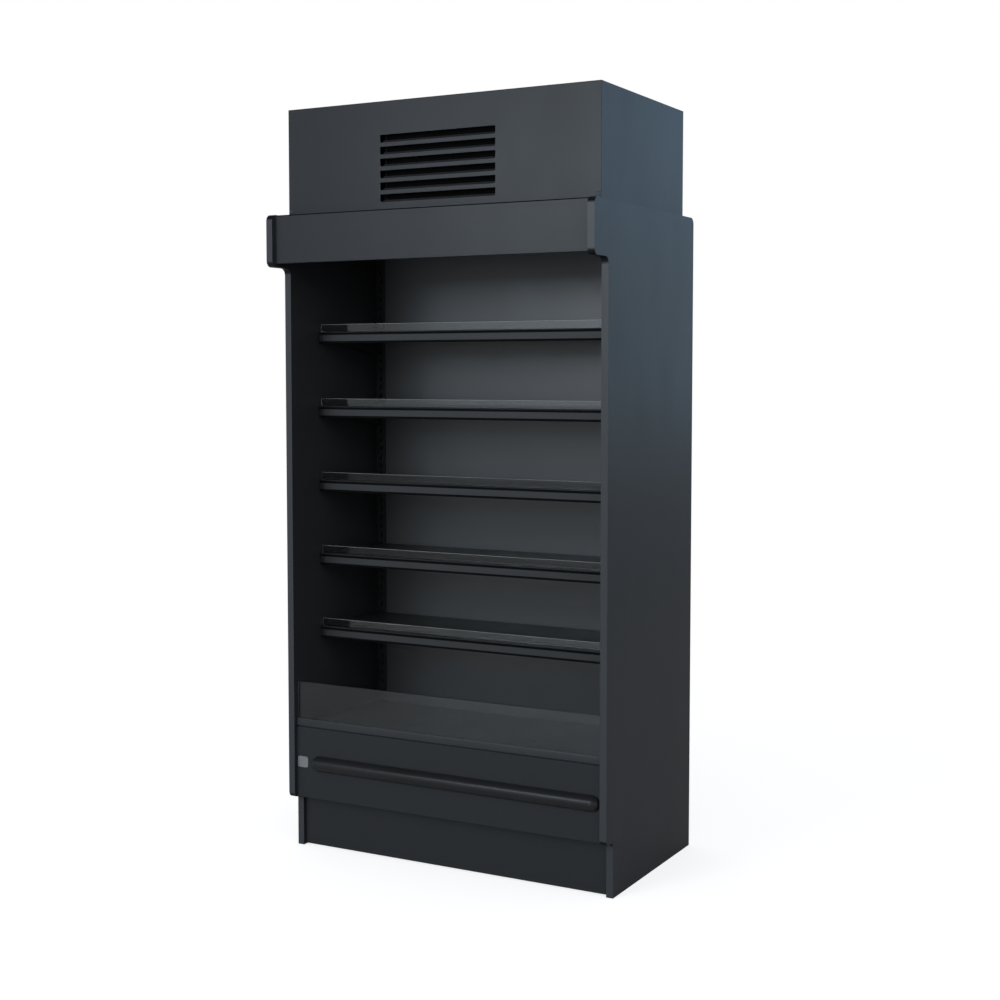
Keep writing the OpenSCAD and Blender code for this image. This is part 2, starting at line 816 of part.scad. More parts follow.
module levelling_feet() color(black)
    for (y = [frame_y0 + foot_r + foot_gap, frame_y1 - foot_r - foot_gap]) both_sides()
        translate([foot_x, y, 0]) {
            cylinder(h = foot_h, r = foot_r);
            cylinder(h = beam_z, r = stem_r);
            translate([0, 0, beam_z - nut_h]) cylinder(h = nut_h, r = nut_r, $fn = 6);
        }

module insulated_base() color(foam) difference() {
    union() {
        block([-wall_x, base_front_y, base_z], [wall_x, back_y1, tub_z]);
        block([-wall_x, base_front_y, base_z], [wall_x, base_wall_y, tub_wall_z]);
        both_sides() block([tub_x, base_wall_y, base_z], [wall_x, back_y0, tub_side_z]);
    }
    translate([0, drain_at_y, base_z - over])
        cylinder(h = base_floor_t + 2 * over, r = drain_r + fit_gap);
}

module kick_plate() color(anthracite) along_x(-wall_x, wall_x) {
    plate([kick_y, kick_gap], [kick_y + sheet_t, toe_h]);
    plate([kick_y, kick_gap], [kick_y + kick_fold, kick_gap + sheet_t]);
    plate([kick_y, toe_h - sheet_t], [kick_y + kick_fold, toe_h]);
}

module lower_front_panel() color(anthracite) along_x(-wall_x, wall_x) {
    plate([front_y, cover_z0], [front_y + sheet_t, cover_z1]);
    plate([front_y, cover_z1 - sheet_t], [front_y + cover_top_fold, cover_z1]);
    plate([front_y, cover_z0], [front_y + cover_foot_fold, cover_z0 + sheet_t]);
}

module bumper_rail() color(black) {
    x0 = -wall_x + bumper_left_gap + bumper_r;
    x1 = wall_x - bumper_right_gap - bumper_r;
    along_x(x0, x1) translate([front_y, bumper_z]) half_disc(bumper_r);
    for (x = [x0, x1]) translate([x, front_y, bumper_z]) rotate([90, 0, 0])
        rotate_extrude() mirror([1, 0]) half_disc(bumper_r, 0);
}

module badge_plate() color(silver)
    translate([-wall_x + badge_gap + badge_w / 2, 0, bumper_z])
        along_y(front_y - badge_t, front_y) rounded_plate(badge_w, badge_h, badge_r);

module riser_holder() color(dark_grey) along_x(-wall_x + over, wall_x - over) {
    rear_y = riser_y + base_riser_t;
    lip_y = rear_y + holder_lip_t;
    foot_y = base_front_y + cover_top_fold;
    foot_y1 = grille_y0 - holder_foot_gap;
    lip_z = holder_z + holder_face_h;
    floor_z = holder_z + holder_floor_t;
    polygon([[front_y, holder_z], [front_y, lip_z], [riser_y - holder_lip_t / 4, holder_z1],
        [riser_y, holder_z1], [riser_y, groove_z], [rear_y, groove_z], [rear_y, lip_z],
        [lip_y, lip_z], [lip_y, floor_z], [foot_y1, floor_z],
        [foot_y1, tub_wall_z], [foot_y, tub_wall_z], [foot_y, holder_z]]);
}

module base_riser() color(clear)
    block([-wall_x + riser_end_gap, riser_y, groove_z],
        [wall_x - riser_end_gap, riser_y + base_riser_t, holder_z1 + base_riser_h]);

module base_deck() color(liner_grey) {
    translate([0, 0, deck_z0]) linear_extrude(liner_t) difference() {
        plate([-deck_x, deck_y0], [deck_x, deck_y1]);
        for (s = [-1, 1]) translate([s * finger_x, deck_y0 + finger_y])
            obround(finger_l, finger_w);
    }
    lip_x = tub_x - deck_gap;
    for (y = [deck_y0, deck_y1 - liner_t])
        block([-lip_x, y, deck_z - deck_lip], [lip_x, y + liner_t, deck_z]);
}

module return_air_grille() color(liner_grey) {
    slots = floor((2 * wall_x - 2 * grille_margin) / grille_pitch);
    translate([0, 0, deck_z0]) linear_extrude(liner_t) difference() {
        plate([-deck_x, grille_y0], [deck_x, grille_y1 - deck_gap / 2]);
        for (k = [0 : slots - 1])
            translate([(k - (slots - 1) / 2) * grille_pitch, (grille_y0 + grille_y1) / 2])
                rotate([0, 0, 90]) obround(grille_d - 2 * grille_margin, grille_slot_w);
    }
    block([-deck_x, grille_y0, tub_wall_z], [deck_x, grille_y0 + liner_t, deck_z]);
}

module condensate_tray() color(black) {
    x = rail_x - fit_gap;
    y1 = tray_y0 + tray_d;
    z0 = tray_z1 - tray_h;
    difference() {
        block([-x, tray_y0, z0], [x, y1, tray_z1]);
        block([-x + liner_t, tray_y0 + liner_t, z0 + liner_t],
            [x - liner_t, y1 - liner_t, tray_z1 + over]);
    }
    both_sides() block([x - liner_t, tray_y0, tray_z1], [x + tray_rim, y1, tray_z1 + liner_t]);
}

module drain_pipe() color(black) {
    bottom = tray_z1 + 2 * liner_t;
    translate([0, drain_at_y, 0]) difference() {
        union() {
            translate([0, 0, bottom]) cylinder(h = tub_z - bottom + over, r = drain_r);
            translate([0, 0, tub_z]) cylinder(h = liner_t, r = drain_r * 1.5);
        }
        translate([0, 0, bottom - over])
            cylinder(h = tub_z - bottom + liner_t + 2 * over, r = drain_r - 2 * liner_t);
    }
}

// Canopy

module insulated_roof() color(foam) difference() {
    block([-wall_x, fascia_y + sheet_t, roof_z0], [wall_x, back_y1, roof_z1]);
    for (x = [liquid_x, suction_x]) translate([x, pipe_y, roof_z0 - over])
        cylinder(h = roof_t + 2 * over, r = pipe_hole_r);
}

module ceiling_panel() color(liner_grey) along_x(-wall_x, wall_x) {
    plate([comb_y1, ceiling_z], [liner_y1, ceiling_z + liner_t]);
    plate([comb_y1, ceiling_z - ceiling_lip], [comb_y1 + liner_t, ceiling_z + liner_t]);
}

module canopy_fascia() color(anthracite) along_x(-wall_x, wall_x) {
    plate([fascia_y, fascia_z0], [fascia_y + sheet_t, canopy_z1]);
    plate([fascia_y, roof_z1], [plant_y0 - seam_h, canopy_z1]);
    plate([fascia_y, fascia_z0], [fascia_y + fascia_foot, fascia_z0 + sheet_t]);
}

module air_honeycomb() color(black) {
    z0 = ceiling_z - comb_h;
    translate([0, 0, z0]) linear_extrude(comb_h) difference() {
        plate([-wall_x, lamp_y1], [wall_x, comb_y1]);
        for (r = [0 : comb_rows - 1], k = [0 : comb_columns - 1 - r % 2])
            translate([(k - (comb_columns - 1 - r % 2) / 2) * comb_pitch,
                (lamp_y1 + comb_y1) / 2 + (r - (comb_rows - 1) / 2) * comb_step])
                rotate([0, 0, 30]) circle(d = comb_cell, $fn = 6);
    }
}

module led_lamp() color(silver) along_x(-wall_x, wall_x) difference() {
    polygon([[lamp_y0, lamp_z0], [lamp_y0 + lamp_foot, lamp_z0],
        [lamp_y1, ceiling_z - lamp_rear_h], [lamp_y1, ceiling_z], [lamp_y0, ceiling_z]]);
    plate([lamp_y0 + lamp_t, lamp_z0 + lamp_t],
        [lamp_y0 + lamp_foot - lamp_t, ceiling_z - lamp_t]);
}

// Plant box

module plant_base_plate() color(steel) difference() {
    block([-plate_x, plate_y0, roof_z1], [plate_x, plate_y1, shoulder_h]);
    for (x = [liquid_x, suction_x]) translate([x, pipe_y, roof_z1 - over])
        cylinder(h = shoulder_h - roof_z1 + 2 * over, r = pipe_hole_r);
}

module louvre_slot() difference() {
    plate([-louvre_l / 2, 0], [louvre_l / 2, louvre_h]);
    for (s = [-1, 1]) spandrel([s * louvre_l / 2, 0], [-s, 1], louvre_r);
}

module plant_front() color(anthracite) {
    fold_y = plant_y0 + sheet_t;
    slot_z = shoulder_h + louvre_z;
    along_y(plant_y0, fold_y) difference() {
        plate([-wall_x, shoulder_h], [wall_x, lid_z0]);
        for (k = [0 : louvre_count - 1]) translate([0, slot_z + k * louvre_pitch]) louvre_slot();
    }
    // Lips turned in and up from the foot of each slot
    for (k = [0 : louvre_count - 1]) translate([0, 0, slot_z + k * louvre_pitch])
        along_x(-louvre_l / 2 + louvre_r, louvre_l / 2 - louvre_r)
            polygon([[fold_y - sheet_t / 2, 0], [fold_y, 0],
                [fold_y + lip_d, lip_rise], [fold_y + lip_d, lip_rise - sheet_t],
                [fold_y, -sheet_t], [fold_y - sheet_t / 2, -sheet_t]]);
    for (z = [shoulder_h, lid_z0 - sheet_t])
        block([-shell_in_x, plant_y0, z], [shell_in_x, fold_y + plant_fold, z + sheet_t]);
    both_sides() block([shell_in_x - sheet_t, plant_y0, shoulder_h],
        [shell_in_x, fold_y + plant_fold, lid_z0]);
}

module plant_shell() color(anthracite) {
    fold_y = plant_y0 + sheet_t;
    both_sides() {
        block([shell_in_x, fold_y, shoulder_h], [wall_x, plant_y1, lid_z0]);
        block([shell_in_x - plant_fold, fold_y + plant_fold + sheet_t, shoulder_h],
            [wall_x, plant_y1, shoulder_h + sheet_t]);
    }
    along_y(plant_y1 - sheet_t, plant_y1) difference() {
        plate([-wall_x, shoulder_h], [wall_x, lid_z0]);
        translate([0, shoulder_h + rear_grille_z + rear_grille_h / 2])
            square([rear_grille_w - 2 * rear_grille_border,
                rear_grille_h - 2 * rear_grille_border], center = true);
        translate([-inlet_x, inlet_cz])
            square([inlet_w - 2 * bezel_t, inlet_h - 2 * bezel_t], center = true);
        translate([control_x, control_cz])
            square([control_w - 2 * bezel_t, control_h - 2 * bezel_t], center = true);
    }
}

module plant_lid() color(anthracite) {
    block([-wall_x, plant_y0, lid_z0], [wall_x, plant_y1, body_h]);
    difference() {
        block([-plate_x, plate_y0 + plant_fold, lid_z0 - plant_fold],
            [plate_x, plate_y1, lid_z0]);
        block([-plate_x + sheet_t, plate_y0 + plant_fold + sheet_t, lid_z0 - plant_fold - over],
            [plate_x - sheet_t, plate_y1 - sheet_t, lid_z0]);
    }
}

module rear_grille() color(dark_grey) {
    rows = floor((rear_grille_h - 4 * rear_grille_border) / rear_slot_pitch);
    slot_l = rear_grille_w / 2 - 2 * rear_grille_border;
    z = shoulder_h + rear_grille_z + rear_grille_h / 2;
    translate([0, 0, z]) along_y(plant_y1, plant_y1 + sheet_t) difference() {
        square([rear_grille_w, rear_grille_h], center = true);
        for (k = [0 : rows], s = [-1, 1])
            translate([s * rear_grille_w / 4, (k - rows / 2) * rear_slot_pitch])
                obround(slot_l, rear_slot_h);
    }
}

// Condensing unit

module compressor() color(black) {
    dome = comp_r / 4;
    foot = comp_r / 3;
    translate([comp_x, comp_y, 0]) {
        translate([0, 0, comp_z0]) rotate_extrude() difference() {
            plate([0, 0], [comp_r, comp_h]);
            spandrel([comp_r, comp_h], [-1, -1], dome);
            spandrel([comp_r, 0], [-1, 1], dome);
        }
        for (a = [45 : 90 : 315]) rotate([0, 0, a]) {
            translate([comp_r * 0.55, -foot / 2, comp_z0])
                cube([comp_r * 0.7, foot, 2 * sheet_t]);
            translate([comp_stub, 0, shoulder_h]) cylinder(h = comp_foot_h, r = foot / 3);
        }
        // Terminal cover
        block([-comp_r * 1.25, -foot, comp_z0 + comp_h * 0.4],
            [-comp_r * 0.9, foot, comp_z0 + comp_h * 0.75]);
        // Discharge stub on top and suction stub at the side
        translate([-comp_r / 2, 0, comp_z1 - dome]) cylinder(h = dome + 2 * liquid_r, r = liquid_r);
        translate([comp_r - suction_r, 0, comp_z0 + comp_h / 2]) rotate([0, 90, 0])
            cylinder(h = comp_stub - comp_r + suction_r, r = suction_r);
    }
}

module condenser_coil() color(silver)
    finned_coil(cond_w, cond_y0, cond_y1, cond_z0, shoulder_h + cond_h,
        shoulder_h, cond_rows, sheet_t);

module fan_shroud() color(dark_grey) {
    x = cond_w / 2 + sheet_t;
    z1 = shoulder_h + cond_h;
    // Plate with the fan opening, box sides to the condenser, and the ring
    difference() {
        union() {
            difference() {
                block([-x, cond_y1, shoulder_h], [x, ring_y0 + sheet_t, z1]);
                block([-x + sheet_t, cond_y1 - over, shoulder_h + sheet_t],
                    [x - sheet_t, ring_y0, z1 - sheet_t]);
            }
            translate([0, ring_y1, fan_z]) rotate([90, 0, 0])
                cylinder(h = shroud_ring_d, r = ring_r + liner_t);
        }
        translate([0, ring_y1 + over, fan_z]) rotate([90, 0, 0])
            cylinder(h = shroud_ring_d + 2 * over, r = ring_r);
    }
}

module condenser_fan() color(black)
    translate([0, fan_y, fan_z]) axial_fan(fan_r, hub_r, fan_d, fan_blades);

// Motor about Y behind its fan, with a shaft and arms out to the fan ring
module fan_motor(r, l, arm_r, seat_y, shaft_l) {
    arm = liner_t * 2;
    rotate([-90, 0, 0]) cylinder(h = l, r = r);
    rotate([90, 0, 0]) cylinder(h = shaft_l, r = shaft_r);
    for (a = [0 : 120 : 240]) rotate([0, a, 0]) {
        block([-arm, 0, r * 0.8], [arm, arm, arm_r]);
        block([-arm, seat_y, arm_r - arm], [arm, arm, arm_r]);
    }
}

module condenser_fan_motor() color(steel) translate([0, motor_y, fan_z])
    fan_motor(motor_r, motor_l, ring_r + liner_t, ring_y1 - motor_y, tip_gap + shroud_ring_d / 2);

module electrical_box() color(steel) {
    x0 = -plate_x + 2 * plant_fold;
    y1 = plate_y1 - 2 * plant_fold;
    block([x0, y1 - ebox_d, shoulder_h], [x0 + ebox_w, y1, shoulder_h + ebox_h]);
    block([x0 - liner_t, y1 - ebox_d - liner_t, shoulder_h + ebox_h],
        [x0 + ebox_w + liner_t, y1 + liner_t, shoulder_h + ebox_h + 2 * liner_t]);
    // Cable glands
    for (k = [1 : 3]) translate([x0 + ebox_w, y1 - k * ebox_d / 4, shoulder_h + ebox_h / 2])
        rotate([0, 90, 0]) cylinder(h = 4 * liner_t, r = 3 * liner_t);
}

module refrigerant_pipes() color(copper) {
    end_x = cond_w / 2 + sheet_t;
    hot_x = end_x + 8 * liquid_r;
    stub_x = comp_x - comp_r / 2;
    evap_x = evap_w / 2 + liner_t;
    low_z = cond_z0 + cond_step;
    feed_z = evap_z0 + evap_step;
    return_z = evap_z1 - evap_step;
    side_z = comp_z0 + comp_h / 2;
    drier_y = comp_y - comp_r - drier_l;
    // Hot gas line from the compressor to the condenser
    pipe_run([[stub_x, comp_y, comp_z1 + 2 * liquid_r], [stub_x, comp_y, discharge_z],
        [hot_x, comp_y, discharge_z], [hot_x, cond_cy, discharge_z],
        [end_x, cond_cy, discharge_z]], liquid_r);
    // Liquid line with its filter drier, down the rear duct to the evaporator
    pipe_run([[end_x, cond_cy, low_z], [liquid_x, cond_cy, low_z],
        [liquid_x, pipe_y, low_z], [liquid_x, pipe_y, feed_z], [liquid_x, evap_cy, feed_z],
        [evap_x, evap_cy, feed_z]], liquid_r);
    translate([liquid_x, drier_y, low_z]) rotate([-90, 0, 0]) cylinder(h = drier_l, r = drier_r);
    // Suction line back up to the compressor
    pipe_run([[comp_x + comp_stub, comp_y, side_z], [suction_x, comp_y, side_z],
        [suction_x, pipe_y, side_z], [suction_x, pipe_y, return_z],
        [suction_x, evap_cy, return_z], [evap_x, evap_cy, return_z]], suction_r);
}

// Evaporator

module evaporator_coil() color(silver)
    finned_coil(evap_w, evap_y0, evap_y1, evap_z0, evap_z1, tub_z, evap_rows, liner_t);

module evaporator_fan_tray() color(steel) {
    along_y(fan_plate_y - liner_t, fan_plate_y) difference() {
        plate([-tub_x, tub_z], [tub_x, evap_z1 + deck_gap]);
        for (s = [-1, 1]) translate([s * evap_fan_x, evap_fan_z]) circle(evap_ring_r);
    }
    for (s = [-1, 1]) translate([s * evap_fan_x, fan_plate_y - liner_t, evap_fan_z]) {
        rotate([90, 0, 0]) difference() {
            cylinder(h = evap_fan_d, r = evap_ring_r + liner_t);
            translate([0, 0, -over]) cylinder(h = evap_fan_d + 2 * over, r = evap_ring_r);
        }
        translate([0, -evap_fan_d - tip_gap, 0]) mirror([0, 1, 0])
            fan_motor(evap_motor_r, evap_motor_l, evap_ring_r + liner_t, -tip_gap,
                tip_gap + evap_fan_d / 2);
    }
}

module evaporator_fan(x) color(black)
    translate([x, fan_plate_y - liner_t - evap_fan_d / 2, evap_fan_z]) mirror([0, 1, 0])
        axial_fan(evap_fan_r, evap_hub_r, evap_fan_d - liner_t, fan_blades);

module left_evaporator_fan() evaporator_fan(-evap_fan_x);

module right_evaporator_fan() evaporator_fan(evap_fan_x);

// Controls on the rear of the plant box

module power_inlet() color(black) difference() {
    socket_w = inlet_w * 0.5;
    socket_h = inlet_h * 0.3;
    socket_z = -inlet_h / 5;
    slack = rocker_r + fit_gap;
    translate([-inlet_x, 0, inlet_cz]) {
        along_y(plant_y1, plant_y1 + bezel_t) rounded_plate(inlet_w, inlet_h, bezel_t);
        along_y(plant_y1 - inlet_d, plant_y1 + over)
            square([inlet_w - 2 * bezel_t - fit_gap, inlet_h - 2 * bezel_t - fit_gap],
                center = true);
    }
    // Recess round the three blades of the inlet
    translate([-inlet_x, 0, inlet_cz + socket_z]) difference() {
        along_y(plant_y1 - inlet_d / 2, plant_y1 + bezel_t + over)
            square([socket_w, socket_h], center = true);
        for (k = [-1 : 1]) translate([k * socket_w / 4, 0, (k == 0 ? 1 : -1) * socket_h / 8])
            along_y(plant_y1 - inlet_d, plant_y1)
                square([liner_t, socket_h / 4], center = true);
    }
    // Well of the rocker and the bores of its trunnions
    translate([-inlet_x, rocker_y, rocker_z]) {
        block([-rocker_w / 2 - fit_gap, -slack, -slack],
            [rocker_w / 2 + fit_gap, 2 * bezel_t + over, slack]);
        rotate([0, 90, 0]) cylinder(h = rocker_w + 4 * trunnion_r, r = trunnion_r + shaft_gap,
            center = true);
    }
}

module power_switch() color([0.1, 0.1, 0.11])
    translate([-inlet_x, rocker_y, rocker_z]) rotate([rocker_tilt, 0, 0]) {
        along_x(-rocker_w / 2, rocker_w / 2) intersection() {
            circle(rocker_r);
            polygon([[-rocker_r, -rocker_r], [rocker_r / 2, -rocker_r], [rocker_r * 0.9, -rocker_r],
                [rocker_r * 0.7, 0], [rocker_r * 0.9, rocker_r], [-rocker_r, rocker_r]]);
        }
        rotate([0, 90, 0]) cylinder(h = rocker_w + 2 * trunnion_r, r = trunnion_r, center = true);
    }

module controller() color(dark_grey) difference() {
    translate([control_x, 0, control_cz]) {
        along_y(plant_y1, plant_y1 + bezel_t) rounded_plate(control_w, control_h, bezel_t);
        along_y(plant_y1 - control_d, plant_y1 + over)
            square([control_w - 2 * bezel_t - fit_gap, control_h - 2 * bezel_t - fit_gap],
                center = true);
    }
    // Display window
    translate([control_x - control_w / 8, 0, control_cz])
        along_y(plant_y1 + bezel_t / 2, plant_y1 + bezel_t + over)
            square([control_w / 2, control_h / 2], center = true);
    // Bore of the button
    translate([button_x, plant_y1 + bezel_t + over, control_cz]) rotate([90, 0, 0])
        cylinder(h = 2 * bezel_t + button_travel + over, r = button_r + fit_gap);
}

module controller_button() color(silver)
    translate([button_x, plant_y1 + bezel_t + fit_gap + button_travel / 2, control_cz])
        rotate([90, 0, 0]) cylinder(h = 2 * bezel_t, r = button_r);

module screw_head() rotate([90, 0, 0]) cylinder(h = screw_h, r = screw_r);

module panel_screws() color(steel) {
    z = shoulder_h + screw_inset;
    both_sides() translate([wall_x - screw_inset / 2, plant_y0, z]) screw_head();
    grille_x = (rear_grille_w - rear_grille_border) / 2;
    for (u = [rear_grille_border / 2, rear_grille_h - rear_grille_border / 2]) both_sides()
        translate([grille_x, plant_y1 + sheet_t + screw_h, shoulder_h + rear_grille_z + u])
            screw_head();
    for (k = [0 : 3]) both_sides()
        translate([wall_x - screw_inset, back_y1 + screw_h,
            tub_z + screw_inset + k * (roof_z0 - tub_z - 2 * screw_inset) / 3]) screw_head();
}

// Shelves, drawn from the shelf's own top face and numbered from the top

module shelf_at(i) translate([0, 0, first_shelf_z + (shelf_count - i) * shelf_pitch]) children();

module shelf_pan(i) color(dark_grey) shelf_at(i) {
    along_x(-shelf_x, shelf_x) difference() {
        union() {
            plate([shelf_y0, -shelf_t], [shelf_y1, 0]);
            plate([shelf_y0, -shelf_front_h], [shelf_y0 + shelf_edge_r, 0]);
            plate([shelf_y0, -shelf_front_h],
                [shelf_y0 + shelf_return, -shelf_front_h + shelf_t]);
        }
        spandrel([shelf_y0, 0], [1, -1], shelf_edge_r);
    }
    both_sides() block([shelf_x - shelf_t, shelf_y0 + shelf_t, -shelf_side_h],
        [shelf_x, shelf_y1, -shelf_t / 2]);
    fold_x = inner_x - deck_gap;
    block([-fold_x, shelf_y1 - shelf_t, -shelf_side_h], [fold_x, shelf_y1, -shelf_t / 2]);
    mid_y = (shelf_y0 + shelf_y1) / 2;
    difference() {
        block([-fold_x, mid_y - stiffener_w / 2, -stiffener_h],
            [fold_x, mid_y + stiffener_w / 2, -shelf_t / 2]);
        block([-fold_x - over, mid_y - stiffener_w / 2 + shelf_t, -stiffener_h - over],
            [fold_x + over, mid_y + stiffener_w / 2 - shelf_t, -shelf_t]);
    }
}

module price_rail(i) color(black) shelf_at(i) along_x(-rail_end_x, rail_end_x) difference() {
    plate([shelf_y0 - rail_face_d, -rail_drop - rail_face_h], [shelf_y0, -rail_drop]);
    plate([shelf_y0 - rail_face_d + rail_face_t, -rail_drop - rail_face_h + rail_face_t],
        [shelf_y0 + over, -rail_drop - rail_face_t]);
}

module shelf_riser(i) color(clear) shelf_at(i) along_x(-riser_end_x, riser_end_x) {
    y = shelf_y0 + riser_setback;
    plate([y, 0], [y + riser_t, riser_h]);
    plate([y, 0], [y + riser_foot, riser_t / 2]);
}

left_end_panel();
right_end_panel();
insulated_back();
inner_back_panel();
uprights();
shelf_brackets();
base_frame();
levelling_feet();
insulated_base();
kick_plate();
lower_front_panel();
bumper_rail();
badge_plate();
riser_holder();
base_riser();
base_deck();
return_air_grille();
condensate_tray();
drain_pipe();
insulated_roof();
ceiling_panel();
canopy_fascia();
air_honeycomb();
led_lamp();
plant_base_plate();
plant_front();
plant_shell();
plant_lid();
rear_grille();
compressor();
condenser_coil();
fan_shroud();
condenser_fan();
condenser_fan_motor();
electrical_box();
refrigerant_pipes();
evaporator_coil();
evaporator_fan_tray();
left_evaporator_fan();
right_evaporator_fan();
power_inlet();
power_switch();
controller();
controller_button();
panel_screws();
shelf_pan(1);  // shelf_pan_1
shelf_pan(2);  // shelf_pan_2
shelf_pan(3);  // shelf_pan_3
shelf_pan(4);  // shelf_pan_4
shelf_pan(5);  // shelf_pan_5
price_rail(1);  // price_rail_1
price_rail(2);  // price_rail_2
price_rail(3);  // price_rail_3
price_rail(4);  // price_rail_4
price_rail(5);  // price_rail_5
shelf_riser(1);  // shelf_riser_1
shelf_riser(2);  // shelf_riser_2
shelf_riser(3);  // shelf_riser_3
shelf_riser(4);  // shelf_riser_4
shelf_riser(5);  // shelf_riser_5
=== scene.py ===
import json
import math

import bmesh
import bpy
from mathutils import Matrix, Vector

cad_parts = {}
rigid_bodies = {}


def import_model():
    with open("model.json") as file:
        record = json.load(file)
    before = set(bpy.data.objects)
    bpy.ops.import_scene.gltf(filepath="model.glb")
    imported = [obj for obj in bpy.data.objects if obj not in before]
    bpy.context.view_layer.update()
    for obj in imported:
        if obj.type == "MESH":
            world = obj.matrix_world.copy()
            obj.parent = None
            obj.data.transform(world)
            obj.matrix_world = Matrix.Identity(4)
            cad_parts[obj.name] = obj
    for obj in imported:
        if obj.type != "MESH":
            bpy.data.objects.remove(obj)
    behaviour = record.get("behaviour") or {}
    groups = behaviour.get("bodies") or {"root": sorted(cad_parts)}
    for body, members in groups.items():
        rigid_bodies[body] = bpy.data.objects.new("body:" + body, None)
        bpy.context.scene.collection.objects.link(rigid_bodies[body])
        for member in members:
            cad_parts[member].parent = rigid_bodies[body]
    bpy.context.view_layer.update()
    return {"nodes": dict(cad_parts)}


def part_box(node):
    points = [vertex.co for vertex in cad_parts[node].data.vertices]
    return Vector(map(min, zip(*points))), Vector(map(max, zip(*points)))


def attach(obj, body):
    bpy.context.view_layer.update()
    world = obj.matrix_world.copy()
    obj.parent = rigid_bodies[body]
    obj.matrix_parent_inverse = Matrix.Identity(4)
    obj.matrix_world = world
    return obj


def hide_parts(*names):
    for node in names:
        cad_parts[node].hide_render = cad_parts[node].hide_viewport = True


for leftover in list(bpy.data.objects):
    bpy.data.objects.remove(leftover)

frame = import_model()
nodes = frame["nodes"]


# Camera

cameraView = {
    "place": (2.0657, -3.6942, 1.3109),
    "tilt": 86.425,            # degrees from straight down
    "turn": 28.569,            # degrees to the left of straight ahead
    "lens": 56.4, "sensor": 36,
    "rise": -0.03,             # small shift that keeps the uprights nearly parallel
}

cameraData = bpy.data.cameras.new("camera")
cameraData.lens = cameraView["lens"]
cameraData.sensor_width = cameraView["sensor"]
cameraData.shift_y = cameraView["rise"]
camera = bpy.data.objects.new("camera", cameraData)
camera.location = cameraView["place"]
camera.rotation_euler = (math.radians(cameraView["tilt"]), 0, math.radians(cameraView["turn"]))
bpy.context.scene.collection.objects.link(camera)
bpy.context.scene.camera = camera
print("camera in place")


# Node helpers

def place(tree, kind, sockets=None, **settings):
    node = tree.nodes.new(kind)
    for key, value in settings.items():
        setattr(node, key, value)
    for key, value in (sockets or {}).items():
        socket = node.inputs[key]
        if isinstance(value, bpy.types.NodeSocket):
            tree.links.new(value, socket)
        else:
            socket.default_value = value
    return node


def startFinish(name, gloss=0.5, metal=0.0, shine=0.5):
    material = bpy.data.materials.new(name)
    material.use_nodes = True
    tree = material.node_tree
    shader = tree.nodes["Principled BSDF"]
    shader.inputs["Roughness"].default_value = gloss
    shader.inputs["Metallic"].default_value = metal
    shader.inputs["Specular IOR Level"].default_value = shine
    coords = place(tree, "ShaderNodeTexCoord").outputs["Object"]
    return material, tree, shader, coords


def stretched(tree, coords, scale):
    return place(tree, "ShaderNodeMapping", {"Vector": coords, "Scale": scale}).outputs["Vector"]


def cloud(tree, coords, size, detail=3.0, rough=0.55):
    noise = place(tree, "ShaderNodeTexNoise",
                  {"Vector": coords, "Scale": 1 / size, "Detail": detail, "Roughness": rough})
    return noise.outputs["Fac"]


def spread(tree, share, low, high, start=0.3, end=0.7):
    node = place(tree, "ShaderNodeMapRange",
                 {"Value": share, "From Min": start, "From Max": end, "To Min": low, "To Max": high})
    return node.outputs["Result"]


def shade(tone, factor):
    return tuple(min(1.0, part * factor) for part in tone) + (1.0,)


def blendTones(tree, share, first, second):
    node = place(tree, "ShaderNodeMix", data_type="RGBA")
    for index, value in ((0, share), (6, first), (7, second)):      # a colour mix's own sockets
        if isinstance(value, bpy.types.NodeSocket):
            tree.links.new(value, node.inputs[index])
        else:
            node.inputs[index].default_value = value
    return node.outputs[2]


def relief(tree, shader, height, depth, strength=1.0):
    bump = place(tree, "ShaderNodeBump", {"Height": height, "Distance": depth, "Strength": strength})
    if shader.inputs["Normal"].is_linked:
        tree.links.new(shader.inputs["Normal"].links[0].from_socket, bump.inputs["Normal"])
    tree.links.new(bump.outputs["Normal"], shader.inputs["Normal"])


def facing(tree, axis):
    normal = place(tree, "ShaderNodeNewGeometry").outputs["Normal"]
    return place(tree, "ShaderNodeSeparateXYZ", {"Vector": normal}).outputs[axis]


def combine(tree, operation, first, second=0.0):
    return place(tree, "ShaderNodeMath", {0: first, 1: second}, operation=operation).outputs[0]


def varyTone(tree, shader, share, look):
    low, high = (shade(look["tone"], part) for part in look["shades"])
    tree.links.new(blendTones(tree, share, low, high), shader.inputs["Base Color"])


def varyGloss(tree, shader, share, look, start=0.3, end=0.7):
    low, high = (look["gloss"] + part for part in look["glossReach"])
    tree.links.new(spread(tree, share, low, high, start, end), shader.inputs["Roughness"])


# Finishes

paintTurn = {"edge": (0.1, 0.3), "corner": (0.15, 0.4), "dust": (0.5, 1.0)}     # how a face points


